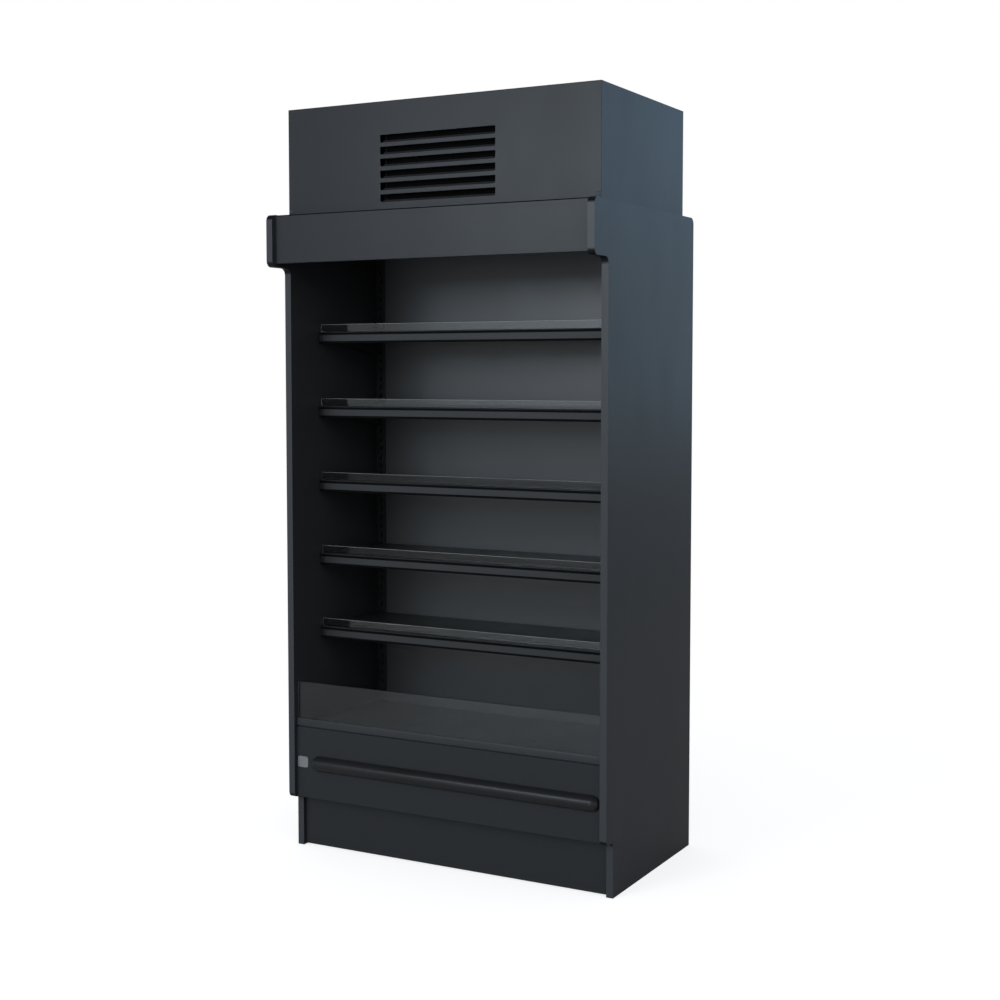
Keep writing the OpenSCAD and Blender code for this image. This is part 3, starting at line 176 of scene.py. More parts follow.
def paintedSheet(name, look):
    material, tree, shader, coords = startFinish(name, look["gloss"], shine=look["shine"])
    mottle = cloud(tree, coords, look["mottleSize"])
    tone = blendTones(tree, spread(tree, mottle, 0, 1),
                      shade(look["tone"], 1 - look["mottle"]), shade(look["tone"], 1 + look["mottle"]))
    if "edgeTone" in look:      # narrow faces that don't point sideways get a lighter tone; faces pointing up or down get painted shade
        across = combine(tree, "ABSOLUTE", facing(tree, "X"))
        edges = spread(tree, across, 1, 0, *paintTurn["edge"])
        tone = blendTones(tree, edges, tone, look["edgeTone"] + (1,))
        # painted shade: faces pointing up or down turn near-black, as if in shade
        lean = combine(tree, "ABSOLUTE", facing(tree, "Z"))
        corners = spread(tree, lean, 0, 1, *paintTurn["corner"])
        tone = blendTones(tree, corners, tone, look["upDownShadeTone"] + (1,))
    dust = spread(tree, facing(tree, "Z"), 0, look["dust"], *paintTurn["dust"])
    tree.links.new(blendTones(tree, dust, tone, look["dustTone"] + (1,)), shader.inputs["Base Color"])
    smear = cloud(tree, stretched(tree, coords, look["smearStretch"]), look["smearSize"], detail=5)
    varyGloss(tree, shader, smear, look)
    relief(tree, shader, cloud(tree, coords, look["peelSize"], detail=1.5), look["peelDepth"])
    return material


anthracitePaint = {
    "tone": (0.025, 0.027, 0.030), "mottle": 0.05, "mottleSize": 0.5, "gloss": 0.35,
    "glossReach": (-0.03, 0.03), "smearSize": 0.5 / 3, "smearStretch": (1, 1, 0.4), "shine": 0.25,
    "dust": 0.12, "dustTone": (0.12, 0.12, 0.12), "peelSize": 0.0016, "peelDepth": 0.00002,
}
# end panel skin: a lighter tone on the narrow faces, and painted shade on faces pointing up or down
panelSkin = dict(anthracitePaint, gloss=0.33, peelSize=0.0009,
                 edgeTone=(0.047, 0.050, 0.055), upDownShadeTone=(0.006, 0.006, 0.007))
linerPaint = dict(anthracitePaint, tone=(0.053, 0.055, 0.058), gloss=0.34, shine=0.7)
deckShadedPaint = dict(linerPaint, tone=(0.036, 0.038, 0.041))      # a darker copy of the liner paint: painted shade on the deck under the lowest shelf
shelfPaint = dict(anthracitePaint, tone=(0.020, 0.022, 0.024), gloss=0.36, peelSize=0.0012)
darkSheet = dict(anthracitePaint, tone=(0.020, 0.021, 0.023), gloss=0.45)
controlBoxPaint = dict(anthracitePaint, tone=(0.32, 0.33, 0.34), gloss=0.5, dustTone=(0.4, 0.4, 0.38))


def insulationSkin(name):
    look = {"tone": (0.030, 0.032, 0.035), "shades": (0.92, 1.08), "patchSize": 0.05, "gloss": 0.5,
            "glossReach": (-0.06, 0.06), "waveSize": 0.4, "waveDepth": 0.0006, "grainSize": 0.0015,
            "grainDepth": 0.00003}
    material, tree, shader, coords = startFinish(name, look["gloss"])
    wave = cloud(tree, coords, look["waveSize"], detail=1)
    patches = spread(tree, cloud(tree, coords, look["patchSize"], detail=6), 0, 1)
    varyTone(tree, shader, patches, look)
    varyGloss(tree, shader, wave, look)
    relief(tree, shader, wave, look["waveDepth"])
    relief(tree, shader, cloud(tree, coords, look["grainSize"]), look["grainDepth"])
    return material


flowMarks = {"glossReach": (-0.04, 0.05)}


def mouldedPlastic(name, look):
    look = dict(look, shades=(1 - look["spread"], 1 + look["spread"]), **flowMarks)
    material, tree, shader, coords = startFinish(name, look["gloss"], shine=look.get("shine", 0.5))
    flow = cloud(tree, coords, look["flowSize"], detail=2)
    varyTone(tree, shader, spread(tree, flow, 0, 1), look)
    varyGloss(tree, shader, flow, look)
    grain = place(tree, "ShaderNodeTexVoronoi", {"Vector": coords, "Scale": 1 / look["grainSize"]})
    relief(tree, shader, grain.outputs["Distance"], look["grainDepth"])
    return material


bumperVinyl = {"tone": (0.014, 0.0145, 0.016), "spread": 0.08, "gloss": 0.33, "flowSize": 0.3,
               "grainSize": 0.0012, "grainDepth": 0.000002, "shine": 0.4}
trimExtrusion = {"tone": (0.034, 0.036, 0.039), "spread": 0.06, "gloss": 0.42, "flowSize": 0.15,
                 "grainSize": 0.0008, "grainDepth": 0.00001, "shine": 0.25}
blackPlastic = {"tone": (0.014, 0.014, 0.015), "spread": 0.12, "gloss": 0.5, "flowSize": 0.04,
                "grainSize": 0.0008, "grainDepth": 0.00004}
blackRubber = {"tone": (0.013, 0.013, 0.013), "spread": 0.2, "gloss": 0.75, "flowSize": 0.01,
               "grainSize": 0.0015, "grainDepth": 0.00008}
# near-black strips standing for painted shadow in narrow gaps on the shelf fronts and along the canopy
# fascia
paintedShadowStrip = {"tone": (0.003, 0.003, 0.003), "spread": 0.2, "gloss": 0.8, "flowSize": 0.05,
              "grainSize": 0.0010, "grainDepth": 0.00003, "shine": 0.1}
# near-black foam: partly the filter's own black, partly painted shade behind the louvres
filterFoamInShade = {"tone": (0.0025, 0.0025, 0.0025), "spread": 0.4, "gloss": 0.9, "flowSize": 0.004,
              "grainSize": 0.0018, "grainDepth": 0.0006, "shine": 0.1}
buttonPlastic = {"tone": (0.32, 0.33, 0.34), "spread": 0.05, "gloss": 0.35, "flowSize": 0.01,
                 "grainSize": 0.0005, "grainDepth": 0.00001}


brushMarks = {"shades": (0.85, 1.1), "glossReach": (-0.07, 0.1)}


def brushedMetal(name, look):
    look = dict(look, **brushMarks)
    material, tree, shader, coords = startFinish(name, look["gloss"], metal=1.0)
    lines = cloud(tree, stretched(tree, coords, look["stretch"]), look["lineSize"], detail=4)
    varyTone(tree, shader, spread(tree, lines, 0, 1), look)
    varyGloss(tree, shader, lines, look)
    relief(tree, shader, lines, look["lineDepth"])
    return material


badgeMetal = {"tone": (0.50, 0.51, 0.52), "gloss": 0.36, "stretch": (0.06, 1, 1), "lineSize": 0.0006,
              "lineDepth": 0.00002}
lampAluminium = {"tone": (0.10, 0.105, 0.11), "gloss": 0.4, "stretch": (0.02, 1, 1), "lineSize": 0.0015,
                 "lineDepth": 0.00002}
coilAluminium = {"tone": (0.55, 0.56, 0.58), "gloss": 0.35, "stretch": (1, 1, 0.1), "lineSize": 0.003,
                 "lineDepth": 0.00005}
condenserFinsInShade = dict(coilAluminium, tone=(0.016, 0.016, 0.017), gloss=0.6)     # near-black fins: painted shade seen through the louvres
zincScrew = {"tone": (0.10, 0.10, 0.11), "gloss": 0.38, "stretch": (1, 1, 1), "lineSize": 0.002,
             "lineDepth": 0.00002}


def galvanisedSteel(name):
    look = {"tone": (0.42, 0.43, 0.45), "shades": (0.78, 1.15), "gloss": 0.42, "glossReach": (-0.1, 0.1),
            "spangleSize": 0.011, "grainSize": 0.002, "grainDepth": 0.00003}
    material, tree, shader, coords = startFinish(name, look["gloss"], metal=1.0)
    spangle = place(tree, "ShaderNodeTexVoronoi", {"Vector": coords, "Scale": 1 / look["spangleSize"]})
    grey = place(tree, "ShaderNodeSeparateColor", {"Color": spangle.outputs["Color"]}).outputs["Red"]
    varyTone(tree, shader, grey, look)
    varyGloss(tree, shader, grey, look, 0, 1)
    relief(tree, shader, cloud(tree, coords, look["grainSize"]), look["grainDepth"])
    return material


def copperPipe(name):
    look = {"bright": (0.62, 0.29, 0.17), "dull": (0.28, 0.13, 0.08), "patchSize": 0.02,
            "patchReach": (0.35, 0.65), "gloss": 0.34, "sleeve": (0.012, 0.012, 0.012),
            "sleeveGloss": 0.85, "sleeveWidth": 0.028, "sleeveFade": 0.001, "grainSize": 0.0015,
            "grainDepth": 0.00005}
    material, tree, shader, coords = startFinish(name)
    patches = cloud(tree, coords, look["patchSize"], detail=5)
    patch = spread(tree, patches, 0, 1, *look["patchReach"])
    copper = blendTones(tree, patch, shade(look["bright"], 1), shade(look["dull"], 1))
    side = place(tree, "ShaderNodeSeparateXYZ", {"Vector": coords}).outputs["X"]
    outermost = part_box("refrigerant_pipes")[1].x
    sleeveStart = outermost - look["sleeveWidth"]       # the suction line runs outermost, in black foam
    sleeved = spread(tree, side, 0, 1, sleeveStart, sleeveStart + look["sleeveFade"])
    tone = blendTones(tree, sleeved, copper, shade(look["sleeve"], 1))
    tree.links.new(tone, shader.inputs["Base Color"])
    tree.links.new(spread(tree, sleeved, 1, 0, 0, 1), shader.inputs["Metallic"])
    gloss = spread(tree, sleeved, look["gloss"], look["sleeveGloss"], 0, 1)
    tree.links.new(gloss, shader.inputs["Roughness"])
    relief(tree, shader, cloud(tree, coords, look["grainSize"]), look["grainDepth"])
    return material


def clearAcrylic(name):
    look = {"tone": (0.89, 0.91, 0.915), "shades": (0.97, 1), "gloss": 0.05, "glossReach": (-0.02, 0.02),
            "hazeSize": 0.12, "ior": 1.49, "shine": 0.15, "lampShade": 0.95}
    material, tree, shader, coords = startFinish(name, look["gloss"], shine=look["shine"])
    shader.inputs["IOR"].default_value = look["ior"]
    shader.inputs["Transmission Weight"].default_value = 1.0
    haze = cloud(tree, coords, look["hazeSize"], detail=4)
    varyTone(tree, shader, spread(tree, haze, 0, 1), look)
    varyGloss(tree, shader, haze, look)
    lampRay = place(tree, "ShaderNodeLightPath").outputs["Is Shadow Ray"]   # lamps shine through
    through = place(tree, "ShaderNodeBsdfTransparent", {"Color": shade(look["tone"], look["lampShade"])})
    both = place(tree, "ShaderNodeMixShader", {0: lampRay, 1: shader.outputs[0], 2: through.outputs[0]})
    tree.links.new(both.outputs[0], tree.nodes["Material Output"].inputs["Surface"])
    return material


def compressorEnamel(name):
    look = {"tone": (0.010, 0.010, 0.011), "shades": (0.7, 1.5), "driftSize": 0.03, "gloss": 0.22,
            "glossReach": (-0.06, 0.12), "coat": 0.4, "coatGloss": 0.1, "peelSize": 0.004,
            "peelDepth": 0.0001}
    material, tree, shader, coords = startFinish(name, look["gloss"])
    shader.inputs["Coat Weight"].default_value = look["coat"]
    shader.inputs["Coat Roughness"].default_value = look["coatGloss"]
    drift = cloud(tree, coords, look["driftSize"], detail=4)
    varyTone(tree, shader, drift, look)
    varyGloss(tree, shader, drift, look)
    relief(tree, shader, cloud(tree, coords, look["peelSize"]), look["peelDepth"])
    return material


def milkyDiffuser(name):
    look = {"tone": (0.62, 0.63, 0.63), "shades": (0.94, 1), "gloss": 0.45, "through": 0.15,
            "ribScale": 160.0, "ribDepth": 0.0002}
    material, tree, shader, coords = startFinish(name, look["gloss"])
    shader.inputs["Transmission Weight"].default_value = look["through"]
    ribs = place(tree, "ShaderNodeTexWave",
                 {"Vector": coords, "Scale": look["ribScale"], "Distortion": 0.0},
                 bands_direction="X").outputs["Fac"]
    varyTone(tree, shader, ribs, look)
    relief(tree, shader, ribs, look["ribDepth"])
    return material


def displayGlass(name):
    look = {"tone": (0.006, 0.007, 0.009), "shades": (0.8, 1.5), "gloss": 0.06,
            "glossReach": (-0.02, 0.08), "printSize": 0.006}
    material, tree, shader, coords = startFinish(name, look["gloss"])
    prints = cloud(tree, coords, look["printSize"], detail=4)
    varyTone(tree, shader, prints, look)
    varyGloss(tree, shader, prints, look)
    return material


finishes = {
    "anthracite_paint": paintedSheet("anthracitePaint", anthracitePaint),
    "end_panel_skin": paintedSheet("endPanelSkin", panelSkin),
    "liner_paint": paintedSheet("linerPaint", linerPaint),
    "shelf_paint": paintedSheet("shelfPaint", shelfPaint),
    "dark_sheet": paintedSheet("darkSheet", darkSheet),
    "control_box_sheet": paintedSheet("controlBoxSheet", controlBoxPaint),
    "insulation_panel": insulationSkin("insulationSkin"),
    "bumper_vinyl": mouldedPlastic("bumperVinyl", bumperVinyl),
    "trim_extrusion": mouldedPlastic("trimExtrusion", trimExtrusion),
    "black_plastic": mouldedPlastic("blackPlastic", blackPlastic),
    "black_rubber": mouldedPlastic("blackRubber", blackRubber),
    "button_plastic": mouldedPlastic("buttonPlastic", buttonPlastic),
    "badge_metal": brushedMetal("badgeMetal", badgeMetal),
    "lamp_aluminium": brushedMetal("lampAluminium", lampAluminium),
    "coil_aluminium": brushedMetal("coilAluminium", coilAluminium),
    "zinc_screw": brushedMetal("zincScrew", zincScrew),
    "galvanised_steel": galvanisedSteel("galvanisedSteel"),
    "copper_pipe": copperPipe("copperPipe"),
    "clear_acrylic": clearAcrylic("clearAcrylic"),
    "compressor_enamel": compressorEnamel("compressorEnamel"),
}
milky = milkyDiffuser("milkyDiffuser")
screenGlass = displayGlass("displayGlass")
# the finish of the painted shadow strips
shadowStripFinish = mouldedPlastic("paintedShadowStrip", paintedShadowStrip)
# filter foam: its own black deepened with painted shade behind the louvres
foam = mouldedPlastic("filterFoamInShade", filterFoamInShade)
# the condenser's fins darkened to near-black as painted shade behind the louvres
blackFins = brushedMetal("blackFins", condenserFinsInShade)
# the deck's finish: the liner paint darkened as painted shade
deckShadedFinish = paintedSheet("deckShadedPaint", deckShadedPaint)

for node in nodes.values():
    for holder in node.material_slots:
        slotName = holder.material.name.split(".")[0]
        if slotName in finishes:
            holder.material = finishes[slotName]
for name, finish in (("condenser_coil", blackFins), ("base_deck", deckShadedFinish)):
    for holder in nodes[name].material_slots:
        holder.material = finish
print("finishes made:", len(finishes))


# Small pieces

def addPiece(name, mesh, material, body, smooth=False):
    piece = bpy.data.objects.new(name, mesh)
    bpy.context.scene.collection.objects.link(piece)
    mesh.materials.append(material)
    for face in mesh.polygons:
        face.use_smooth = smooth
    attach(piece, body)
    return piece


def meshFrom(name, form):
    bmesh.ops.recalc_face_normals(form, faces=form.faces)
    mesh = bpy.data.meshes.new(name)
    form.to_mesh(mesh)
    form.free()
    return mesh


def addGrid(form, rows, loop=False):
    corners = [[form.verts.new(point) for point in row] for row in rows]
    for first, second in zip(corners, corners[1:]):
        count = len(first) if loop else len(first) - 1
        for index in range(count):
            after = (index + 1) % len(first)
            form.faces.new((first[index], first[after], second[after], second[index]))
    return corners


def addBox(form, low, high):
    made = bmesh.ops.create_cube(form, size=1)["verts"]
    middle = (Vector(low) + Vector(high)) / 2
    size = Vector(high) - Vector(low)
    for vert in made:
        vert.co = Vector((vert.co.x * size.x, vert.co.y * size.y, vert.co.z * size.z)) + middle


# Screws: pan heads with a cross recess, one on each head that the model has

screws = {"rings": 9, "sides": 40, "crossWidth": 0.00055, "crossReach": 0.0027, "crossDepth": 0.0009,
          "crossTaper": 0.5, "crown": 0.0006, "weld": 0.000001, "seam": 0.0000001}


def islandBoxes(node):
    form = bmesh.new()
    form.from_mesh(node.data)
    bmesh.ops.remove_doubles(form, verts=form.verts, dist=screws["weld"])
    left, boxes = set(form.verts), []
    while left:
        queue, spots = [left.pop()], []
        while queue:
            vert = queue.pop()
            spots.append(vert.co.copy())
            for edge in vert.link_edges:
                other = edge.other_vert(vert)
                if other in left:
                    left.remove(other)
                    queue.append(other)
        boxes.append([Vector(pick(spot[axis] for spot in spots) for axis in range(3))
                      for pick in (min, max)])
    form.free()
    return sorted(boxes, key=lambda box: tuple(box[0]))


def screwHead(form, low, high):
    outward = -1 if low.y < 0 else 1
    foot = high.y if outward < 0 else low.y
    middle, radius, height = (low + high) / 2, (high.x - low.x) / 2, high.y - low.y
    rows = []
    for ring in range(screws["rings"] + 1):
        reach = radius * ring / screws["rings"]
        row = []
        for side in range(screws["sides"]):
            angle = math.tau * side / screws["sides"]
            u, v = reach * math.cos(angle), reach * math.sin(angle)
            rise = height - screws["crown"] * (reach / radius) ** 4
            if min(abs(u), abs(v)) < screws["crossWidth"] and max(abs(u), abs(v)) < screws["crossReach"]:
                rise -= screws["crossDepth"] * (1 - screws["crossTaper"] * reach / screws["crossReach"])
            row.append((middle.x + u, foot + outward * rise, middle.z + v))
        rows.append(row)
    rows.append([(x, foot, z) for x, y, z in rows[-1]])
    addGrid(form, rows, loop=True)


form = bmesh.new()
for low, high in islandBoxes(nodes["panel_screws"]):
    screwHead(form, low, high)
bmesh.ops.remove_doubles(form, verts=form.verts, dist=screws["seam"])
heads = addPiece("screwHeads", meshFrom("screwHeads", form), finishes["zinc_screw"],
                 "cabinet", True)
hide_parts("panel_screws")
print("screw heads made")


# Lamp cover: a milky ribbed strip along the sloping face of the lamp housing

lampCover = {"inset": 0.004, "bulge": 0.0016, "lift": 0.0002, "margin": 0.1, "steps": 8,
             "footDepth": 0.028, "rearHeight": 0.022}
low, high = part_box("led_lamp")
slopeFrom = Vector((0, low.y + lampCover["footDepth"], low.z))
slopeTo = Vector((0, high.y, high.z - lampCover["rearHeight"]))
outward = Vector((0, slopeTo.z - slopeFrom.z, slopeFrom.y - slopeTo.y)).normalized()
form = bmesh.new()
rows = []
for x in (low.x + lampCover["inset"], high.x - lampCover["inset"]):
    row = []
    for step in range(lampCover["steps"] + 1):
        share = step / lampCover["steps"]
        spot = slopeFrom.lerp(slopeTo, lampCover["margin"] + (1 - 2 * lampCover["margin"]) * share)
        spot += outward * (lampCover["lift"] + lampCover["bulge"] * math.sin(math.pi * share))
        row.append((x, spot.y, spot.z))
    rows.append(row)
addGrid(form, rows)
addPiece("lampCover", meshFrom("lampCover", form), milky, "cabinet", True)
print("lamp cover made")


# Fins between those of the model, at the pitch of a real coil

finPack = {"condenser_coil": {"pitch": 0.0028, "inset": 0.0014, "end": 0.0125, "foot": 0.007,
                              "finish": blackFins},
           "evaporator_coil": {"pitch": 0.0048, "inset": 0.0018, "end": 0.0215, "foot": 0.014,
                               "finish": finishes["coil_aluminium"]}}
fin = {"thickness": 0.00018, "topGap": 0.0004}

for name, settings in finPack.items():
    low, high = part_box(name)
    form = bmesh.new()
    reach = high.x - settings["end"]        # the fins stop short of the end plates
    count = int(2 * reach / settings["pitch"])
    for index in range(1, count):
        x = -reach + 2 * reach * index / count
        addBox(form, (x - fin["thickness"] / 2, low.y + settings["inset"], low.z + settings["foot"]),
               (x + fin["thickness"] / 2, high.y - settings["inset"], high.z - fin["topGap"]))
    addPiece(name.split("_")[0] + "Fins", meshFrom(name + "Fins", form), settings["finish"],
             "cabinet")
print("fins made")


# Dust filter: a framed foam sheet in front of the condenser, behind the louvres

dustFilter = {"thickness": 0.006, "standOff": 0.0008, "frameWidth": 0.007, "rounding": 0.0006,
              "foamInset": 0.0015, "foamOverlap": 0.001, "foamCuts": 6}
low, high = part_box("condenser_coil")
back, front = low.y - dustFilter["standOff"], low.y - dustFilter["standOff"] - dustFilter["thickness"]
form = bmesh.new()
for corner, opposite in (((low.x, low.z), (low.x + dustFilter["frameWidth"], high.z)),
                         ((high.x - dustFilter["frameWidth"], low.z), (high.x, high.z)),
                         ((low.x, low.z), (high.x, low.z + dustFilter["frameWidth"])),
                         ((low.x, high.z - dustFilter["frameWidth"]), (high.x, high.z))):
    addBox(form, (corner[0], front, corner[1]), (opposite[0], back, opposite[1]))
bmesh.ops.bevel(form, geom=form.edges[:], offset=dustFilter["rounding"], segments=2, affect="EDGES")
addPiece("filterFrame", meshFrom("filterFrame", form), finishes["black_plastic"],
         "cabinet")
form = bmesh.new()
rim = dustFilter["frameWidth"] - dustFilter["foamOverlap"]
addBox(form, (low.x + rim, front + dustFilter["foamInset"], low.z + rim),
       (high.x - rim, back - dustFilter["foamInset"] / 2, high.z - rim))
bmesh.ops.subdivide_edges(form, edges=form.edges[:], cuts=dustFilter["foamCuts"], use_grid_fill=True)
addPiece("filterSheet", meshFrom("filterSheet", form), foam, "cabinet")
print("dust filter made")


# Fan rotors: curved, twisted blades round a hub

rotors = {
    "condenser_fan": {"body": "condenser_fan", "spot": (0.0, -0.103, 1.840),
                      "hub": 0.030, "tip": 0.0975, "depth": 0.024, "flip": 1},
    "left_evaporator_fan": {"body": "left_evaporator_fan", "spot": (-0.190, -0.0493, 0.256),
                            "hub": 0.020, "tip": 0.0557, "depth": 0.0163, "flip": -1},
    "right_evaporator_fan": {"body": "right_evaporator_fan", "spot": (0.190, -0.0493, 0.256),
                             "hub": 0.020, "tip": 0.0557, "depth": 0.0163, "flip": -1},
}
rotorHub = {
    "sides": 48,
    "profile": [(0.0, -0.5), (0.45, -0.5), (0.86, -0.47), (0.97, -0.40), (1.0, -0.30), (1.0, 0.5),
                (0.86, 0.5), (0.86, 0.1), (0.3, 0.1), (0.3, 0.42), (0.0, 0.42)],     # radius, depth
}
rotorBlade = {"count": 5, "rootPitch": 40, "tipPitch": 22, "sweep": 16, "camber": 0.10, "chord": 0.86,
              "swell": {"least": 0.62, "gain": 0.38, "from": 0.15, "span": 0.6},    # widest past half-way
              "curl": 1.5, "thickness": 0.0016, "across": 14, "along": 12, "root": 0.97,
              "depthUsed": 0.98, "seam": 0.00002, "creaseAngle": 50}


def rotorMesh(name, middle, settings):
    form = bmesh.new()
    hub, tip, depth, flip = settings["hub"], settings["tip"], settings["depth"], settings["flip"]
    root, sides = hub * rotorBlade["root"], rotorHub["sides"]
    rows = []
    for reach, level in rotorHub["profile"]:
        rows.append([(hub * reach * math.cos(math.tau * side / sides), flip * depth * level,
                      hub * reach * math.sin(math.tau * side / sides)) for side in range(sides)])
    addGrid(form, rows, loop=True)
    steps, ribs, swell = rotorBlade["across"], rotorBlade["along"], rotorBlade["swell"]
    for blade in range(rotorBlade["count"]):
        start = math.tau * blade / rotorBlade["count"]
        for face in (-1, 1):
            rows = []
            for rib in range(ribs + 1):
                share = rib / ribs
                reach = root + (tip - root) * share
                pitch = rotorBlade["rootPitch"] * (1 - share) + rotorBlade["tipPitch"] * share
                pitch = math.radians(pitch)
                wave = math.sin(math.pi * (swell["from"] + swell["span"] * share))
                chord = rotorBlade["chord"] * (swell["least"] + swell["gain"] * wave) * tip
                chord = min(chord, rotorBlade["depthUsed"] * depth / math.sin(pitch))
                middleAngle = start + math.radians(rotorBlade["sweep"]) * share ** rotorBlade["curl"]
                row = []
                for step in range(steps + 1):
                    along = step / steps - 0.5
                    bow = rotorBlade["camber"] * chord * (0.25 - along * along)     # curved across
                    thick = rotorBlade["thickness"] * math.sqrt(max(0.0, 1 - (2 * along) ** 4)) / 2
                    level = chord * along * math.sin(pitch) + (bow + face * thick) * math.cos(pitch)
                    level = max(-depth / 2, min(depth / 2, level))
                    angle = middleAngle + (chord * along * math.cos(pitch)
                                           - (bow + face * thick) * math.sin(pitch)) / reach
                    row.append((reach * math.cos(angle), flip * level, reach * math.sin(angle)))
                rows.append(row)
            addGrid(form, rows)
    bmesh.ops.remove_doubles(form, verts=form.verts, dist=rotorBlade["seam"])
    bmesh.ops.translate(form, verts=form.verts, vec=middle)
    return meshFrom(name, form)


for name, settings in rotors.items():
    rotor = addPiece(name + "_rotor", rotorMesh(name + "_rotor", Vector(settings["spot"]), settings),
                     finishes["black_plastic"], settings["body"], True)
    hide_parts(name)
    crease = rotor.modifiers.new("crease", "EDGE_SPLIT")
    crease.split_angle = math.radians(rotorBlade["creaseAngle"])
print("rotors made:", len(rotors))


# Controls on the rear: the display's pane, and a bar and a ring on the rocker

displayPane = {"middle": (0.30525, 1.847), "half": (0.0195, 0.009), "inset": 0.0006,
               "behind": (0.0014, 0.0003), "rounding": 0.00025}
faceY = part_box("controller")[1].y
(paneX, paneZ), (halfX, halfZ) = displayPane["middle"], displayPane["half"]
inset, (deep, shallow) = displayPane["inset"], displayPane["behind"]
form = bmesh.new()
addBox(form, (paneX - halfX + inset, faceY - deep, paneZ - halfZ + inset),
       (paneX + halfX - inset, faceY - shallow, paneZ + halfZ - inset))
bmesh.ops.bevel(form, geom=form.edges[:], offset=displayPane["rounding"], segments=2, affect="EDGES")
addPiece("displayPane", meshFrom("displayPane", form), screenGlass, "cabinet")

rockerMarks = {"pivot": (-0.315, 0.28275, 1.8045), "tilt": 7, "fromPivot": 0.0036,
               "levels": (0.0043, 0.00475),     # sunk foot and printed face
               "barHalf": (0.0003, 0.0013), "ringRadii": (0.0009, 0.0014), "ringSides": 24}
foot, face = rockerMarks["levels"]
halfX, halfZ = rockerMarks["barHalf"]
inner, outer = rockerMarks["ringRadii"]
barZ, ringZ, sides = rockerMarks["fromPivot"], -rockerMarks["fromPivot"], rockerMarks["ringSides"]
form = bmesh.new()
addBox(form, (-halfX, foot, barZ - halfZ), (halfX, face, barZ + halfZ))
rows = []
for reach, level in ((inner, foot), (inner, face), (outer, face), (outer, foot)):
    rows.append([(reach * math.cos(math.tau * side / sides), level,
                  ringZ + reach * math.sin(math.tau * side / sides)) for side in range(sides)])
addGrid(form, rows, loop=True)
tilt = Matrix.Rotation(math.radians(rockerMarks["tilt"]), 4, "X")
bmesh.ops.transform(form, matrix=Matrix.Translation(rockerMarks["pivot"]) @ tilt, verts=form.verts)
addPiece("rockerMarks", meshFrom("rockerMarks", form), finishes["button_plastic"],
         "power_switch")
print("control details made")


# Dark strips on the shelf fronts: painted shadow in the gap under the riser above the price rail, and in
# the gap below the rail

shelfShadowStrips = {"shelves": 5, "proud": 0.0012, "gapAboveRail": (-0.0086, -0.0026), "gapBelowRail": (-0.0316, -0.0262),
              "sunk": 0.0002, "endGap": 0.0006, "rounding": 0.0004}

for number in range(1, shelfShadowStrips["shelves"] + 1):
    low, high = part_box(f"shelf_pan_{number}")
    reach = high.x - shelfShadowStrips["endGap"]
    form = bmesh.new()
    for bottom, top in (shelfShadowStrips["gapAboveRail"], shelfShadowStrips["gapBelowRail"]):
        addBox(form, (-reach, low.y - shelfShadowStrips["proud"], high.z + bottom),
               (reach, low.y + shelfShadowStrips["sunk"], high.z + top))
    bmesh.ops.bevel(form, geom=form.edges[:], offset=shelfShadowStrips["rounding"], segments=2, affect="EDGES")
    # near-black strips: painted shadow where the price rail shades the shelf front
    addPiece(f"shelfShadowStrips_{number}", meshFrom(f"shelfShadowStrips_{number}", form), shadowStripFinish,
             f"shelf_{number}")
print("shelf shadow_strips made:", shelfShadowStrips["shelves"])


# Riser edges: a pale milky strip on the top edge of each shelf's clear riser, a painted highlight where
# the cut edge gathers light

riserEdgeHighlights = {"height": 0.0004, "lift": 0.00005, "inset": 0.0002, "rounding": 0.0001, "rimReach": 0.0001}
risers = {f"shelf_riser_{number}": f"shelf_{number}" for number in range(1, shelfShadowStrips["shelves"] + 1)}

for name, body in risers.items():
    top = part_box(name)[1].z
    rim = [vert.co for vert in nodes[name].data.vertices if vert.co.z > top - riserEdgeHighlights["rimReach"]]
    bottom = top + riserEdgeHighlights["lift"]
    low = Vector((min(spot.x for spot in rim), min(spot.y for spot in rim), bottom))
    high = Vector((max(spot.x for spot in rim), max(spot.y for spot in rim), bottom))
    high.z = low.z + riserEdgeHighlights["height"]
    inset = Vector((riserEdgeHighlights["inset"], riserEdgeHighlights["inset"], 0))
    form = bmesh.new()
    addBox(form, low + inset, high - inset)
    bmesh.ops.bevel(form, geom=form.edges[:], offset=riserEdgeHighlights["rounding"], segments=2, affect="EDGES")
    # a pale strip in the milky finish: painted highlight on the riser's top edge
    addPiece(name + "_edge", meshFrom(name + "_edge", form), milky, body)
print("riser edges made:", len(risers))


# Dark strip: a thin near-black strip on the top edge of the canopy fascia, painted shadow in the gap
# where the plant box stands back

fasciaShadowStrip = {"height": 0.0022, "proud": 0.0003, "depth": 0.0016, "endGap": 0.0010, "rounding": 0.0002}
low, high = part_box("canopy_fascia")
form = bmesh.new()
addBox(form, (low.x + fasciaShadowStrip["endGap"], low.y - fasciaShadowStrip["proud"], high.z - fasciaShadowStrip["height"]),
       (high.x - fasciaShadowStrip["endGap"], low.y + fasciaShadowStrip["depth"], high.z + fasciaShadowStrip["proud"]))
bmesh.ops.bevel(form, geom=form.edges[:], offset=fasciaShadowStrip["rounding"], segments=2, affect="EDGES")
addPiece("fasciaShadowStrip", meshFrom("fasciaShadowStrip", form), shadowStripFinish, "cabinet")
print("fascia trim made")


# Softened edges on the nodes that show

